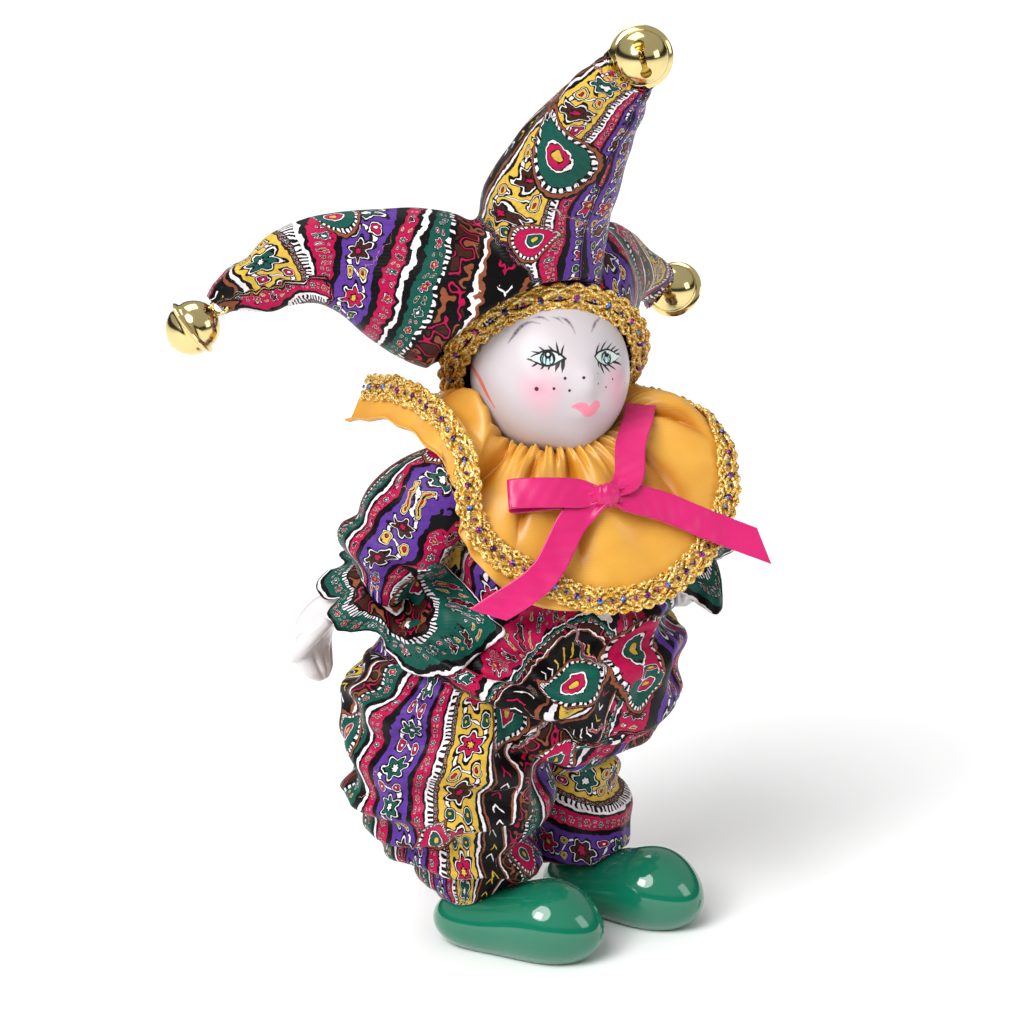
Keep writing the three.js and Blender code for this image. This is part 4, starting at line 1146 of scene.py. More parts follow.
# Braid: two crossing cords between scalloped cords, with beads in the crossings, on a narrow band
def braid(name, centre, tangent, normal, length, step, scallop):
    """Lays braid along a line; centre, tangent and normal give the line's frame at each distance along it."""
    units = max(1, round(length / step))
    pitch = length / units

    def at(a, b, c):
        p, t, n = centre(a), tangent(a), normal(a)
        side = unit(np.cross(n, t))
        return p + side * b[..., None] + n * c[..., None]

    def tube(along, across, lift, radius, sides=8):
        ring = np.linspace(0, 2 * math.pi, sides + 1)
        a = along[:, None] + 0 * ring
        b = across[:, None] + radius * np.cos(ring)
        c = lift[:, None] + radius * np.sin(ring)
        return surface("cord", at(a, b, c)[:, ::-1], weld=0)

    way = np.linspace(0, length, units * 22 + 1)
    turn = 2 * math.pi * way / pitch
    pieces = []
    for sign in (1, -1):
        pieces.append(tube(way, sign * 1.15 * np.cos(turn / 2), 0.75 + sign * 0.2 * np.sin(turn), 0.46))
        edge = 1.8 + scallop * np.abs(np.cos(turn))
        pieces.append(tube(way, sign * edge, 0.5 + 0.12 * np.cos(2 * turn), 0.46))
        inner = 1.3 + 0.9 * scallop * np.abs(np.sin(turn))
        pieces.append(tube(way, sign * inner, 0.78 + 0.16 * np.sin(2 * turn + 1), 0.36))
    a, b = np.meshgrid(np.linspace(0, length, units * 8 + 1), np.linspace(-1, 1, 7), indexing="ij")
    wide = 1.95 + 0.9 * scallop * np.abs(np.cos(2 * math.pi * a / pitch))
    pieces.append(surface("band", at(a, b * wide, 0.34 + 0.14 * (1 - b**2)), weld=0))
    trim = smooth_shaded(joined(name, pieces))
    beads = []
    for k in range(units):
        for share, size in ((0.5, 0.72), (0.0, 0.42)):
            deselect()
            bpy.ops.mesh.primitive_uv_sphere_add(segments=12, ring_count=8, radius=size * MM)
            bead = bpy.context.object
            a = np.array((k + share) * pitch if share else (k + 0.02) * pitch)
            p = at(a, np.array(0.0), np.array(1.05))
            n = normal(a)
            turn_to = Vector((0, 0, 1)).rotation_difference(Vector(n)).to_matrix().to_4x4()
            bead.data.transform(
                Matrix.Translation(Vector((p - MIDDLE) * MM)) @ turn_to @ Matrix.Diagonal((1, 1, 0.62, 1))
            )
            beads.append(bead)
    return trim, smooth_shaded(joined(name + "_beads", beads))


rows = np.linspace(0.002, 0.998, 1500)
line, _ = visible_collar(0.965 + 0.05 * smooth(rows, 0.3, 0.38) * smooth(rows, 0.64, 0.54), rows)
line_normal = collar_normal(np.full_like(rows, 0.94), rows)
outward = unit(line - [*HEAD_PLACE[:2], 104])
line_normal = unit(line_normal + (outward * 1.6 - line_normal) * smooth(rows, 0.26, 0.13)[:, None])
line += line_normal * 0.35
line_way = lengths_along(line)
line_tangent = unit(np.gradient(line, axis=0))
collar_trim, collar_beads = braid(
    "collar_braid_cords",
    lambda a: line_at(a, line_way, line),
    lambda a: line_at(a, line_way, line_tangent),
    lambda a: unit(line_at(a, line_way, line_normal)),
    line_way[-1], 4.8, 0.6,
)


def ring_centre(a, front=-1.0, reach=BRIM_RADIUS - 0.2):
    angle = a / BRIM_RADIUS
    return from_brim(front + 0 * angle, reach * np.sin(angle), reach * np.cos(angle))


def ring_normal(a):
    return unit(ring_centre(a, -0.2, BRIM_RADIUS + 0.5) - ring_centre(a))


angles = np.linspace(0, 2 * math.pi, 721)
shown = ring_centre(angles * BRIM_RADIUS)[:, 2] > 104.5
first = angles[~shown].max() - 2 * math.pi
last = angles[~shown].min()
begin = first * BRIM_RADIUS
hat_trim, hat_beads = braid(
    "hat_braid_cords",
    lambda a: ring_centre(a + begin),
    lambda a: unit(ring_centre(a + begin + 0.1) - ring_centre(a + begin - 0.1)),
    lambda a: ring_normal(a + begin),
    (last - first) * BRIM_RADIUS, 7.4, 0.9,
)

# Ribbon
RIBBON_HALF = 3.0
BOW = (0.52, 0.405)
TAIL_ENDS = (np.array([-32.2, -13.6, 77.6]), np.array([17.2, -41.2, 86.6]))


def ribbon_band(name, facing, points, slant=0.0, pinch=(0,)):
    """A length of ribbon along points, pinched at shares of its length and cut off at a slant."""
    points = np.array(points, float)
    line = centripetal(points, 90)
    reach = points[-(-len(points) // 2)] - points[0]
    wide = unit(np.cross(reach, collar_normal(*facing)))
    tangent = unit(np.gradient(line, axis=0))
    across = unit(wide - tangent * (tangent @ wide)[:, None])
    out = np.cross(across, tangent)
    way = lengths_along(line)
    b = np.linspace(-1, 1, 19)[None, :]
    narrow = np.ones(len(way))
    for spot in pinch:
        narrow -= 0.5 * np.exp(-(((way - spot * way[-1]) / 3.4) ** 2))
    half = RIBBON_HALF * narrow[:, None]
    fold = (1 - narrow[:, None]) * 1.1 * np.cos(b * 7.5)
    waves = 0.07 * np.sin(way[:, None] * 0.8 + 1.6 * b + 1.9 * np.sin(way[:, None] * 0.31))
    cup = 0.12 * (b**2) + fold + waves + 0.025 * np.sin(way[:, None] * 2.1 - 4 * b)
    shift = slant * b * smooth(way, way[-1] - 5, way[-1])[:, None]
    grid = line[:, None] + across[:, None] * (b * half)[..., None]
    grid = grid + out[:, None] * cup[..., None] + tangent[:, None] * shift[..., None]
    uv = np.stack([(b + 1) * RIBBON_HALF + 0 * half, way[:, None] + 0 * b], -1)
    piece = surface(name, grid, uv)
    modify(piece, "SOLIDIFY", thickness=0.22 * MM, offset=0)
    return smooth_shaded(piece)


def spot(s, t, lift):
    return on_collar(np.array(s), np.array(t), np.array(lift))


bow = spot(*BOW, 2.6)
deselect()
bpy.ops.mesh.primitive_uv_sphere_add(segments=48, ring_count=32, radius=2.5 * MM)
knot = bpy.context.object
co = coords(knot) / MM
turn = np.arctan2(co[:, 2], co[:, 1])
co[:, 0] *= 1.12
co[:, 1] *= 0.66
creases = 1 + 0.05 * np.sin(3.1 * co[:, 0] + 0.8 * np.sin(turn)) + 0.04 * np.sin(5.3 * co[:, 0] + turn)
co[:, 1:] *= creases[:, None]
place(knot, (turned(co, math.degrees(-0.7)) + bow - MIDDLE) * MM)
smooth_shaded(knot)
ribbon = joined("satin_ribbon", [
    ribbon_band(
        "strap", (0.3, 0.56),
        [bow, spot(0.46, 0.443, 2), spot(0.25, 0.5, 1.8), spot(0.23, 0.57, 2.3), spot(0.28, 0.625, 1.4)],
    ),
    ribbon_band(
        "loop", BOW,
        [bow, spot(0.5, 0.345, 1.6), spot(0.6, 0.275, 1.6), spot(0.6, 0.272, 3.2), spot(0.5, 0.345, 3.4),
         bow],
        pinch=(0, 1),
    ),
    ribbon_band("tail", BOW, [bow, spot(0.63, 0.362, 2.2), spot(0.96, 0.32, 3), TAIL_ENDS[0]], slant=2.3),
    ribbon_band("tail", BOW, [bow, spot(0.65, 0.46, 2.2), spot(0.98, 0.51, 3), TAIL_ENDS[1]], slant=2.4),
    knot,
])


# Materials
def hex_colour(text):
    """An sRGB hex value as linear colour."""
    parts = [int(text[i : i + 2], 16) / 255 for i in (1, 3, 5)]
    return tuple(c / 12.92 if c <= 0.04045 else ((c + 0.055) / 1.055) ** 2.4 for c in parts) + (1.0,)


def add(tree, kind, *inputs, out=0, stops=None, hard=False, **settings):
    """Adds a node with its settings and gives one of its outputs.

    Its sockets, in their order or named by name or number, are linked to an output or hold a value. A ramp
    has stops of a place and a colour each, and a hard one has sharp steps between them.
    """
    made = tree.nodes.new("ShaderNode" + kind)
    named = settings.pop("named", {})
    for key, value in settings.items():
        setattr(made, key, value)
    for key, value in [*enumerate(inputs), *named.items()]:
        if value is None:
            continue
        if isinstance(value, bpy.types.NodeSocket):
            tree.links.new(value, made.inputs[key])
        else:
            made.inputs[key].default_value = value
    if stops:
        ramp = made.color_ramp
        while len(ramp.elements) > 1:
            ramp.elements.remove(ramp.elements[-1])
        ramp.elements[0].position = stops[0][0]
        ramp.elements[0].color = stops[0][1]
        for at, colour in stops[1:]:
            ramp.elements.new(at).color = colour
        if hard:
            ramp.interpolation = "CONSTANT"
    return made.outputs[out]


def in_millimetres(tree):
    """The piece's own coordinates, in which it lies at its real place, in millimetres."""
    return add(tree, "VectorMath", add(tree, "TexCoord", out=3), (1000, 1000, 1000), operation="MULTIPLY")


def material(name, **constants):
    made = bpy.data.materials.new(name)
    made.use_nodes = True
    tree = made.node_tree
    shader = tree.nodes["Principled BSDF"]
    for key, value in constants.items():
        shader.inputs[key.replace("_", " ").title().replace("Ior", "IOR")].default_value = value
    return made, tree, shader


BLACK, WHITE = hex_colour("#060406"), hex_colour("#EFE8EC")
YELLOW, CRIMSON = hex_colour("#D6B044"), hex_colour("#B30C48")
PURPLE, TEAL = hex_colour("#5A3390"), hex_colour("#0F5044")
COPPER, BROWN = hex_colour("#8A4B30"), hex_colour("#3C1C13")

# The printed cloth's bands: width in mm and colour, then a flower's radius, their distance apart, a pattern
CLOTH = [
    (0.5, BLACK), (0.6, WHITE), (0.5, BLACK), (2.0, CRIMSON, 0.75, 3.2), (1.2, BLACK),
    (6.6, PURPLE, 2.9, 8), (1.0, BLACK), (2.4, CRIMSON, 0.85, 3), (0.5, BLACK), (0.55, WHITE),
    (1.3, BLACK, 0, 1, "ladder"), (1.2, BROWN, 0.45, 1.5), (7.4, YELLOW, 3.4, 9), (0.7, BLACK), (0.6, WHITE),
    (0.7, BLACK), (0.6, COPPER), (5.2, BLACK, 0, 1, "chevron"), (0.6, COPPER), (0.55, WHITE),
    (0.6, BLACK), (4.05, BLACK, 0, 1, "cloud"), (0.45, BLACK), (0.6, BLACK, 0, 1, "ladder"),
    (3.0, TEAL, 0.95, 3.3), (0.6, BLACK),
]
NO_PATTERN = (0, 1, "")
REPEAT = sum(row[0] for row in CLOTH)
LARGEST, LONGEST = 10.0, 20.0  # a ramp holds a flower's size and distance as shares of these
LADDER_STEP, CHEVRON_STEP = 0.95, 2.6


def small_patterns(tree, colour, millimetres, p, along, ladder, chevron, cloud):
    """Draws ladders, clouds and chevrons over the bands that have them."""
    # ladders and ropes
    tick = add(tree, "Math", add(tree, "Math", along, LADDER_STEP, operation="DIVIDE"), operation="FRACT")
    tick = add(tree, "Math", tick, 0.5, operation="GREATER_THAN")
    tick = add(tree, "Math", tick, ladder, operation="MULTIPLY")
    colour = add(tree, "Mix", tick, named={6: colour, 7: WHITE}, data_type="RGBA", out=2)

    # clouds of copper, crimson and brown with dark outlines
    mist = add(tree, "TexNoise", named={"Vector": millimetres, "Scale": 0.3, "Detail": 0.5}, out=0)
    clouds = add(tree, "ValToRGB", mist, hard=True, stops=[
        (0, BROWN), (0.36, BLACK), (0.4, COPPER), (0.46, BLACK), (0.54, CRIMSON), (0.58, BLACK),
        (0.62, BROWN)])
    colour = add(tree, "Mix", cloud, named={6: colour, 7: clouds}, data_type="RGBA", out=2)

    # rows of chevrons in the black bands
    rows = add(tree, "Math", along, CHEVRON_STEP, operation="DIVIDE")
    row = add(tree, "Math", rows, operation="FRACT")
    bent = add(tree, "Math", add(tree, "Math", p, operation="ABSOLUTE"), 0.42, 0.0, operation="MULTIPLY_ADD")
    bent = add(tree, "Math", row, bent, operation="SUBTRACT")
    bent = add(tree, "Math", bent, 0.42, 0.085, operation="COMPARE")
    bent = add(tree, "Math", bent, chevron, operation="MULTIPLY")
    inner = add(tree, "Math", add(tree, "Math", p, operation="ABSOLUTE"), 1.0, operation="LESS_THAN")
    bent = add(tree, "Math", bent, inner, operation="MULTIPLY")
    number = add(tree, "Math", rows, operation="FLOOR")
    chance = add(tree, "TexWhiteNoise", None, number, noise_dimensions="1D", out=0)
    chosen = add(tree, "ValToRGB", chance, hard=True, stops=[(0, WHITE), (0.45, YELLOW), (0.75, CRIMSON)])
    colour = add(tree, "Mix", bent, named={6: colour, 7: chosen}, data_type="RGBA", out=2)
    return colour


def flowers(tree, colour, p, along, centre, size, step):
    """Draws the stems, the leaves and the flowers of the wider bands."""
    turns = add(tree, "Math", along, step, operation="DIVIDE")

    # stems that wind between the flowers of the wide panels
    wave = add(tree, "Math", add(tree, "Math", turns, 2 * math.pi, operation="MULTIPLY"), operation="SINE")
    wave = add(tree, "Math", wave, add(tree, "Math", size, 0.62, operation="MULTIPLY"), operation="MULTIPLY")
    away = add(tree, "Math", add(tree, "Math", p, wave, operation="SUBTRACT"), operation="ABSOLUTE")
    wide = add(tree, "Math", size, 2.0, operation="GREATER_THAN")
    for reach, tone in ((0.5, BLACK), (0.26, WHITE)):
        stem = add(tree, "Math", away, reach, operation="LESS_THAN")
        stem = add(tree, "Math", stem, wide, operation="MULTIPLY")
        colour = add(tree, "Mix", stem, named={6: colour, 7: tone}, data_type="RGBA", out=2)

    # small leaves half way between the flowers, then the flowers themselves
    for shift, share_of_size, petals, aside in ((0.5, 0.5, 2.0, 0.5), (0.0, 1.0, 6.0, 0.0)):
        place_along = add(tree, "Math", turns, shift, operation="ADD")
        number = add(tree, "Math", place_along, operation="FLOOR")
        q = add(tree, "Math", add(tree, "Math", place_along, operation="FRACT"), 0.5, operation="SUBTRACT")
        q = add(tree, "Math", q, step, operation="MULTIPLY")
        side = p
        if aside:
            shifted = add(tree, "Math", size, aside, operation="MULTIPLY")
            side = add(tree, "Math", p, operation="ABSOLUTE")
            side = add(tree, "Math", side, shifted, operation="SUBTRACT")
        angle = add(tree, "Math", side, q, operation="ARCTAN2")
        flat = add(tree, "CombineXYZ", side, q, 0.0)
        reach = add(tree, "VectorMath", flat, operation="LENGTH", out=1)
        lobes = add(tree, "Math", add(tree, "Math", angle, petals, operation="MULTIPLY"), operation="COSINE")
        edge = add(tree, "Math", lobes, 0.2, 0.8, operation="MULTIPLY_ADD")
        radius = add(tree, "Math", size, share_of_size, operation="MULTIPLY")
        edge = add(tree, "Math", edge, radius, operation="MULTIPLY")
        edge = add(tree, "Math", edge, 0.01, operation="MAXIMUM")
        ratio = add(tree, "Math", reach, edge, operation="DIVIDE")
        seed = add(tree, "Math", centre, 57.0, number, operation="MULTIPLY_ADD")
        dice = add(tree, "TexWhiteNoise", None, seed, noise_dimensions="1D", out=0)
        first, second, third = (TEAL, CRIMSON, YELLOW) if aside else (CRIMSON, TEAL, BROWN)
        rings = [
            add(tree, "ValToRGB", ratio, hard=True, stops=[
                (0, heart), (0.2, BLACK), (0.32, petal), (0.6, BLACK), (0.72, WHITE), (0.81, BLACK)])
            for petal, heart in ((first, YELLOW), (second, WHITE), (third, CRIMSON))
        ]
        petal = rings[0]
        for more_than, ring in ((0.4, rings[1]), (0.78, rings[2])):
            chosen = add(tree, "Math", dice, more_than, operation="GREATER_THAN")
            petal = add(tree, "Mix", chosen, named={6: petal, 7: ring}, data_type="RGBA", out=2)
        shown = add(tree, "Math", ratio, 1.0, operation="LESS_THAN")
        colour = add(tree, "Mix", shown, named={6: colour, 7: petal}, data_type="RGBA", out=2)
    return colour


def teardrops(tree, colour, shake):
    """Draws the large curled teardrops, which the piece's attribute places."""
    drop = add(tree, "Attribute", attribute_name="drop", out=1)
    drop = add(tree, "VectorMath", shake, (0.16, 0.16, 0), drop, operation="MULTIPLY_ADD")
    x = add(tree, "SeparateXYZ", drop, out=0)
    y, kind_of = x.node.outputs[1], x.node.outputs[2]
    bend = add(tree, "Math", y, y, operation="MULTIPLY")
    bend = add(tree, "Math", add(tree, "Math", y, 0.0, operation="MAXIMUM"), bend, operation="MULTIPLY")
    x_bent = add(tree, "Math", bend, -0.55, x, operation="MULTIPLY_ADD")
    taper = add(tree, "Math", y, -0.42, 0.66, operation="MULTIPLY_ADD")
    taper = add(tree, "Math", taper, 0.12, operation="MAXIMUM")
    x_wide = add(tree, "Math", x_bent, taper, operation="DIVIDE")
    body = add(tree, "VectorMath", add(tree, "CombineXYZ", x_wide, y, 0.0), operation="LENGTH", out=1)
    turn = add(tree, "Math", add(tree, "Math", x_wide, y, operation="ARCTAN2"), 4.8, operation="MULTIPLY")
    notch = add(tree, "Math", add(tree, "Math", turn, operation="FRACT"), 0.5, operation="GREATER_THAN")
    depth = add(tree, "Math", body, 0.8, operation="MULTIPLY")
    shells = [
        add(tree, "ValToRGB", depth, hard=True, stops=[
            (0, YELLOW), (0.1, BLACK), (0.125, inner), (0.24, BLACK), (0.265, WHITE), (0.3, BLACK),
            (0.32, outer), (0.58, BLACK), (0.6, WHITE), (0.68, BLACK), (0.7, COPPER), (0.76, BLACK)])
        for outer, inner in ((TEAL, CRIMSON), (CRIMSON, TEAL))
    ]
    other = add(tree, "Math", kind_of, 0.5, operation="GREATER_THAN")
    shell = add(tree, "Mix", other, named={6: shells[0], 7: shells[1]}, data_type="RGBA", out=2)
    teeth = add(tree, "Math", body, 0.8, 0.052, operation="COMPARE")
    teeth = add(tree, "Math", teeth, notch, operation="MULTIPLY")
    shell = add(tree, "Mix", teeth, named={6: shell, 7: BLACK}, data_type="RGBA", out=2)
    inside = add(tree, "Math", body, 1.0, operation="LESS_THAN")
    colour = add(tree, "Mix", inside, named={6: colour, 7: shell}, data_type="RGBA", out=2)
    return colour


def printed_satin(name):
    """Polyester satin, screen printed with paisley: a soft sheen, a fine twill and uneven outlines."""
    made, tree, shader = material(
        name, roughness=0.42, sheen_weight=0.02, sheen_roughness=0.4, specular_ior_level=0.14,
    )
    laid = add(tree, "Attribute", attribute_name="print", out=1)
    panel = add(tree, "SeparateXYZ", laid, out=2)
    millimetres = in_millimetres(tree)
    rough_cut = add(tree, "TexNoise", named={"Vector": millimetres, "Scale": 0.62, "Detail": 1.0}, out=1)
    drift = add(tree, "TexNoise", named={"Vector": millimetres, "Scale": 0.11, "Detail": 0.0}, out=1)
    shake = add(tree, "VectorMath", rough_cut, (0.5, 0.5, 0.5), operation="SUBTRACT")
    shaken = add(tree, "VectorMath", shake, (0.9, 0.9, 0), laid, operation="MULTIPLY_ADD")
    swayed = add(tree, "VectorMath", drift, (0.5, 0.5, 0.5), operation="SUBTRACT")
    laid = add(tree, "VectorMath", swayed, (4.0, 4.0, 0), shaken, operation="MULTIPLY_ADD")
    across = add(tree, "SeparateXYZ", laid, out=0)
    along = across.node.outputs[1]
    share = add(tree, "Math", add(tree, "Math", across, REPEAT, operation="DIVIDE"), operation="FRACT")
    start, grounds, layouts, kinds = 0.0, [], [], []
    for band in CLOTH:
        width, colour, size, step, pattern = band + NO_PATTERN[len(band) - 2 :]
        at = start / REPEAT
        grounds.append((at, colour))
        layouts.append((at, ((start + width / 2) / REPEAT, size / LARGEST, step / LONGEST, 1.0)))
        kinds.append((at, (*(float(pattern == kind) for kind in ("ladder", "chevron", "cloud")), 1.0)))
        start += width
    ground, layout, kind = (
        add(tree, "ValToRGB", share, stops=stops, hard=True) for stops in (grounds, layouts, kinds)
    )
    centre = add(tree, "SeparateColor", layout, out=0)
    size, step = centre.node.outputs[1], centre.node.outputs[2]
    ladder = add(tree, "SeparateColor", kind, out=0)
    chevron, cloud = ladder.node.outputs[1], ladder.node.outputs[2]
    p = add(tree, "Math", share, centre, operation="SUBTRACT")
    p = add(tree, "Math", p, REPEAT, operation="MULTIPLY")
    size = add(tree, "Math", size, LARGEST, operation="MULTIPLY")
    step = add(tree, "Math", step, LONGEST, operation="MULTIPLY")
    colour = small_patterns(tree, ground, millimetres, p, along, ladder, chevron, cloud)
    colour = flowers(tree, colour, p, along, centre, size, step)
    colour = teardrops(tree, colour, shake)

    # seams between panels, where the cloth dips into shadow
    seam = add(tree, "Math", panel, operation="FRACT")
    seam = add(tree, "Math", seam, 0.5, 0.3, operation="COMPARE")
    colour = add(tree, "Mix", seam, named={6: colour, 7: BLACK}, data_type="RGBA", out=2)

    # uneven ink, and the cloth's diagonal twill, whose ribs are drawn 0.6 mm apart so that they show
    ink = add(tree, "TexNoise", named={"Vector": millimetres, "Scale": 0.9, "Detail": 2.0}, out=0)
    ink = add(tree, "MapRange", ink, 0.3, 0.7, 0.86, 1.1)
    twill = add(
        tree, "TexWave", named={"Vector": millimetres, "Scale": 0.62, "Distortion": 1.2, "Detail": 1.0},
        bands_direction="DIAGONAL", out=1,
    )
    ink = add(tree, "Math", ink, 0.05, operation="SUBTRACT")
    ink = add(tree, "Math", twill, 0.1, ink, operation="MULTIPLY_ADD")
    colour = add(tree, "VectorMath", colour, add(tree, "CombineXYZ", ink, ink, ink), operation="MULTIPLY")
    tree.links.new(colour, shader.inputs["Base Color"])
    bump_node = add(tree, "Bump", named={"Strength": 0.35, "Distance": 0.00006, "Height": twill})
    tree.links.new(bump_node, shader.inputs["Normal"])
    return made


def plain(name, text, **constants):
    made, _, shader = material(name, **constants)
    shader.inputs["Base Color"].default_value = hex_colour(text)
    return made


def woven_satin(name, light, dark, thread):
    """Acetate satin: long floats give a soft gloss, and painted shade makes the colour a little deeper in the
    folds.

    Its threads are drawn about 0.3 mm apart, which is coarser than real ones, so that they show.
    """
    made, tree, shader = material(
        name, roughness=0.34, sheen_weight=0.15, sheen_roughness=0.35, specular_ior_level=0.5,
    )
    millimetres = in_millimetres(tree)
    blotch = add(tree, "TexNoise", named={"Vector": millimetres, "Scale": 0.16, "Detail": 1.0}, out=0)
    blotch = add(tree, "MapRange", blotch, 0.2, 0.8, 0.48, 0.62)
    twill = add(
        tree, "TexWave", named={"Vector": millimetres, "Scale": thread, "Distortion": 1.5, "Detail": 1.0},
        bands_direction="DIAGONAL", out=1,
    )
    mixed = add(tree, "Math", twill, 0.08, blotch, operation="MULTIPLY_ADD")
    # painted shade: the collar's fold depth pulls the colour towards the dark tone where the creases sink in
    crease_and_shade = add(tree, "Attribute", attribute_name="crease_and_shade", out=2)
    mixed = add(tree, "Math", crease_and_shade, 0.2, mixed, operation="MULTIPLY_ADD")
    colour = add(tree, "ValToRGB", mixed, stops=[(0.35, hex_colour(dark)), (0.75, hex_colour(light))])
    tree.links.new(colour, shader.inputs["Base Color"])
    tree.links.new(
        add(tree, "Bump", named={"Strength": 0.16, "Distance": 0.00005, "Height": twill}),
        shader.inputs["Normal"],
    )
    return made


def gold_yarn(name):
    """Metallic yarn: foil twisted round a core, in spots 0.3 mm across, painted from dark brown shade to pale
    glints.
    """
    made, tree, shader = material(name, metallic=0.35, roughness=0.3)
    glint_cells = add(tree, "TexVoronoi", named={"Vector": in_millimetres(tree), "Scale": 3.4}, out=1)
    tone = add(tree, "SeparateColor", glint_cells, out=0)
    # painted shade and painted glints: the dark brown and pale cream spots stand for the foil's shaded and
    # sparkling facets
    colour = add(tree, "ValToRGB", tone, stops=[
        (0.0, hex_colour("#6A3A0A")), (0.22, hex_colour("#CB8A14")),
        (0.6, hex_colour("#EEB62E")), (0.85, hex_colour("#FFF2B4"))])
    tree.links.new(colour, shader.inputs["Base Color"])
    tree.links.new(
        add(tree, "Bump", named={"Strength": 0.9, "Distance": 0.00025, "Height": tone}),
        shader.inputs["Normal"],
    )
    return made


def bead_glass(name):
    """Pressed glass beads with an oil-film coating: dark, with violet, magenta and blue glints."""
    made, tree, shader = material(name, metallic=0.4, roughness=0.15)
    oil = add(tree, "TexVoronoi", named={"Vector": in_millimetres(tree), "Scale": 1.6}, out=1)
    tone = add(tree, "SeparateColor", oil, out=0)
    colour = add(tree, "ValToRGB", tone, hard=True, stops=[
        (0.0, hex_colour("#3A0F3C")), (0.3, hex_colour("#8C1E78")), (0.5, hex_colour("#2A1A50")),
        (0.7, hex_colour("#5B8FD0")), (0.85, hex_colour("#C23A86"))])
    tree.links.new(colour, shader.inputs["Base Color"])
    return made


def painted_porcelain(name):
    """White glazed porcelain, painted over the glaze: black eye lines, grey brows and airbrushed cheeks."""
    made, tree, shader = material(
        name, roughness=0.4, coat_weight=0.12, coat_roughness=0.25, specular_ior_level=0.4,
    )
    millimetres = in_millimetres(tree)
    brush = add(tree, "TexNoise", named={"Vector": millimetres, "Scale": 1.6, "Detail": 2.0}, out=0)
    cloud = add(tree, "TexNoise", named={"Vector": millimetres, "Scale": 0.25, "Detail": 1.0}, out=0)
    white, line, lip, cheek = (
        add(tree, "SeparateXYZ", add(tree, "Attribute", attribute_name=paint, out=1), out=0)
        for paint in ("eye", "line", "lip", "cheek")
    )
    colour = hex_colour("#CEC6CA")
    # each paint: its attribute and part, the depths in mm at which it starts and is full, strength, colour
    for layer, number, low, high, strength, tone in (
        (cheek, 0, -0.6, 5.2, 0.6, "#EC86A2"),
        (cheek, 1, -0.6, 4.6, 0.62, "#EC86A2"),
        (cheek, 2, -0.6, 3.4, 0.22, "#F2A9B8"),
        # painted shade, grey-green, at the inner corners of the eyes
        (lip, 2, -0.8, 1.2, 0.3, "#A9B4A8"),
        (lip, 0, -0.1, 0.12, 1.0, "#F58CA3"),
        (lip, 1, -0.06, 0.08, 0.95, "#E8705E"),
        (white, 0, -0.03, 0.05, 0.9, "#D3E4DE"),
        (white, 1, -0.03, 0.05, 1.0, "#B9E4E8"),
        (line, 1, -0.06, 0.3, 0.95, "#5A4E54"),
        (line, 2, -0.04, 0.05, 1.0, "#4A1220"),
        (line, 0, -0.02, 0.06, 1.0, "#0C0A0C"),
        (white, 2, -0.04, 0.05, 1.0, "#F4F8F8"),
    ):
        amount = add(tree, "MapRange", layer.node.outputs[number], low, high, 0.0, strength, clamp=True)
        if high > 1:
            soft = add(tree, "MapRange", cloud, 0.3, 0.7, 0.8, 1.15)
            amount = add(tree, "Math", amount, soft, operation="MULTIPLY", use_clamp=True)
        elif number == 1 and layer is line:
            thin = add(tree, "MapRange", brush, 0.35, 0.65, 0.55, 1.0)
            amount = add(tree, "Math", amount, thin, operation="MULTIPLY", use_clamp=True)
        colour = add(tree, "Mix", amount, named={6: colour, 7: hex_colour(tone)}, data_type="RGBA", out=2)
    tree.links.new(colour, shader.inputs["Base Color"])
    return made


suit_print, hat_print = printed_satin("printed_satin_suit"), printed_satin("printed_satin_hat")
collar_satin = woven_satin("golden_satin", "#EDB54C", "#C27A12", 1.1)
ribbon_satin = woven_satin("magenta_satin_ribbon", "#DE1A74", "#AE0852", 1.3)
yarn, bead = gold_yarn("gold_foil_yarn"), bead_glass("coated_glass_bead")
# Dipped green glaze mirrors the lamps sharply, bare white porcelain more softly, and the bells' stamped brass
# has a polished pale gold plate that mirrors all around it
glaze = plain("green_glaze", "#0F7457", roughness=0.09, coat_weight=0.7, coat_roughness=0.04)
china = plain("glazed_porcelain", "#E0D9DA", roughness=0.14, coat_weight=0.4, coat_roughness=0.05)
plate = plain("pale_gold_plate", "#E6D294", metallic=1.0, roughness=0.13)
face_paint = painted_porcelain("painted_porcelain")
paper = plain("studio_floor", "#FFFFFF", roughness=0.9)

# Camera and lights
camera_data = bpy.data.cameras.new("camera")
camera = bpy.data.objects.new("camera", camera_data)
bpy.context.scene.collection.objects.link(camera)
bpy.context.scene.camera = camera
PICTURE_WIDTH, CAMERA_DISTANCE = 204.8, 800  # mm; the photo has 1024 pixels of 0.2 mm
camera_data.sensor_width = 36
camera_data.lens = camera_data.sensor_width * CAMERA_DISTANCE / PICTURE_WIDTH
aside, above = math.radians(45), math.radians(18)
back = Vector((-math.sin(aside) * math.cos(above), -math.cos(aside) * math.cos(above), math.sin(above)))
target = Vector((-10.5, -0.6, 90)) * MM
camera.location = target + back * (CAMERA_DISTANCE * MM)
camera.rotation_euler = (-back).to_track_quat("-Z", "Y").to_euler()
camera_data.clip_start = 0.05


def lamp(name, spot, size, power):
    data = bpy.data.lights.new(name, "AREA")
    data.size = size
    data.energy = power
    piece = bpy.data.objects.new(name, data)
    bpy.context.scene.collection.objects.link(piece)
    piece.location = spot
    piece.rotation_euler = (target - Vector(spot)).to_track_quat("-Z", "Y").to_euler()


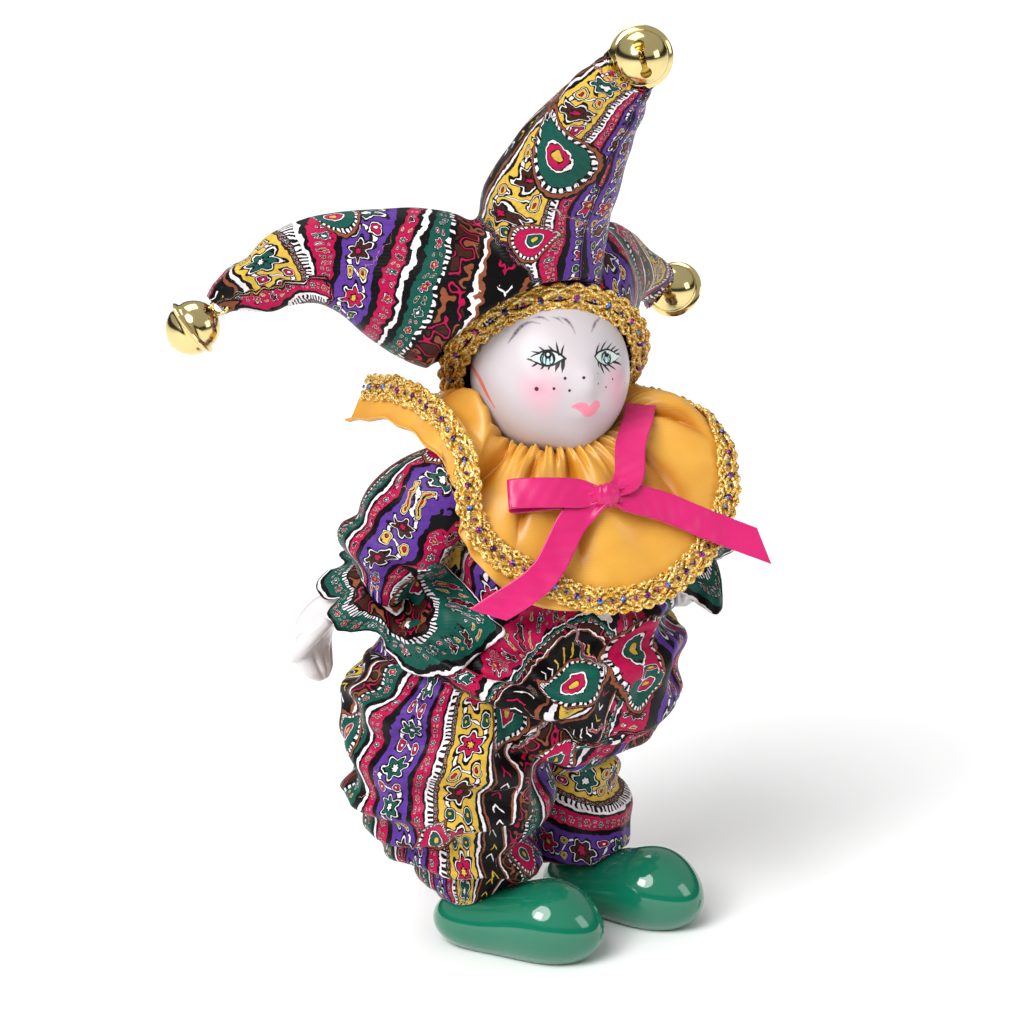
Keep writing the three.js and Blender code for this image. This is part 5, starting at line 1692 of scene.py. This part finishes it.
sun = bpy.data.objects.new("sun", bpy.data.lights.new("sun", "SUN"))
sun.data.energy = 2.2
sun.data.angle = math.radians(40)
sun.rotation_euler = (target - Vector((-0.6, -0.12, 0.74))).to_track_quat("-Z", "Y").to_euler()
bpy.context.scene.collection.objects.link(sun)
lamp("key", (-0.85, -0.1, 0.7), 0.3, 3)
lamp("fill", (0.45, -0.9, 0.45), 0.4, 1.2)
lamp("top", (0.1, 0.35, 0.9), 0.5, 2)
world = bpy.data.worlds.new("studio")
bpy.context.scene.world = world
world.use_nodes = True
sky = world.node_tree
way_up = add(sky, "SeparateXYZ", add(sky, "TexCoord", out=0), out=2)
levels = ((0.48, 0.5), (0.52, 0.06), (0.6, 0.06), (0.66, 0.9), (1.0, 1.0))
tent = add(sky, "ValToRGB", add(sky, "MapRange", way_up, -1.0, 1.0, 0.0, 1.0), stops=[
    (height, (grey, grey, grey, 1)) for height, grey in levels])
sky.links.new(tent, sky.nodes["Background"].inputs["Color"])
sky.nodes["Background"].inputs["Strength"].default_value = 0.48
bpy.context.scene.view_settings.view_transform = "Standard"

deselect()
bpy.ops.mesh.primitive_plane_add(size=6, location=(0, 0, -0.0002))
floor = bpy.context.object
floor.name = "floor"
floor.data.materials.append(paper)

for piece, surface_finish, nodes, slot_name in (
    (suit, suit_print, ["suit"], "suit_print"),
    (hat, hat_print, ["hat"], "hat_print"),
    (head, face_paint, ["head"], "porcelain"),
    (hand_right, china, ["right_hand"], "porcelain"),
    (hand_left, china, ["left_hand"], "porcelain"),
    (collar, collar_satin, ["collar"], "collar_satin"),
    (collar_trim, yarn, ["collar_braid"], "gold_braid"),
    (collar_beads, bead, [], "gold_braid"),
    (hat_trim, yarn, ["hat_braid"], "gold_braid"),
    (hat_beads, bead, [], "gold_braid"),
    (ribbon, ribbon_satin, ["ribbon"], "ribbon_satin"),
    (boot_right, glaze, ["right_boot"], "boot_glaze"),
    (boot_left, glaze, ["left_boot"], "boot_glaze"),
    (bells["front"], plate, ["bell_front"], "bell_metal"),
    (bells["right"], plate, ["bell_right"], "bell_metal"),
    (bells["left"], plate, ["bell_left"], "bell_metal"),
):
    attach(piece, "root")
    piece.data.materials.append(surface_finish)
    if nodes:
        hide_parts(*nodes)

bpy.context.view_layer.update()
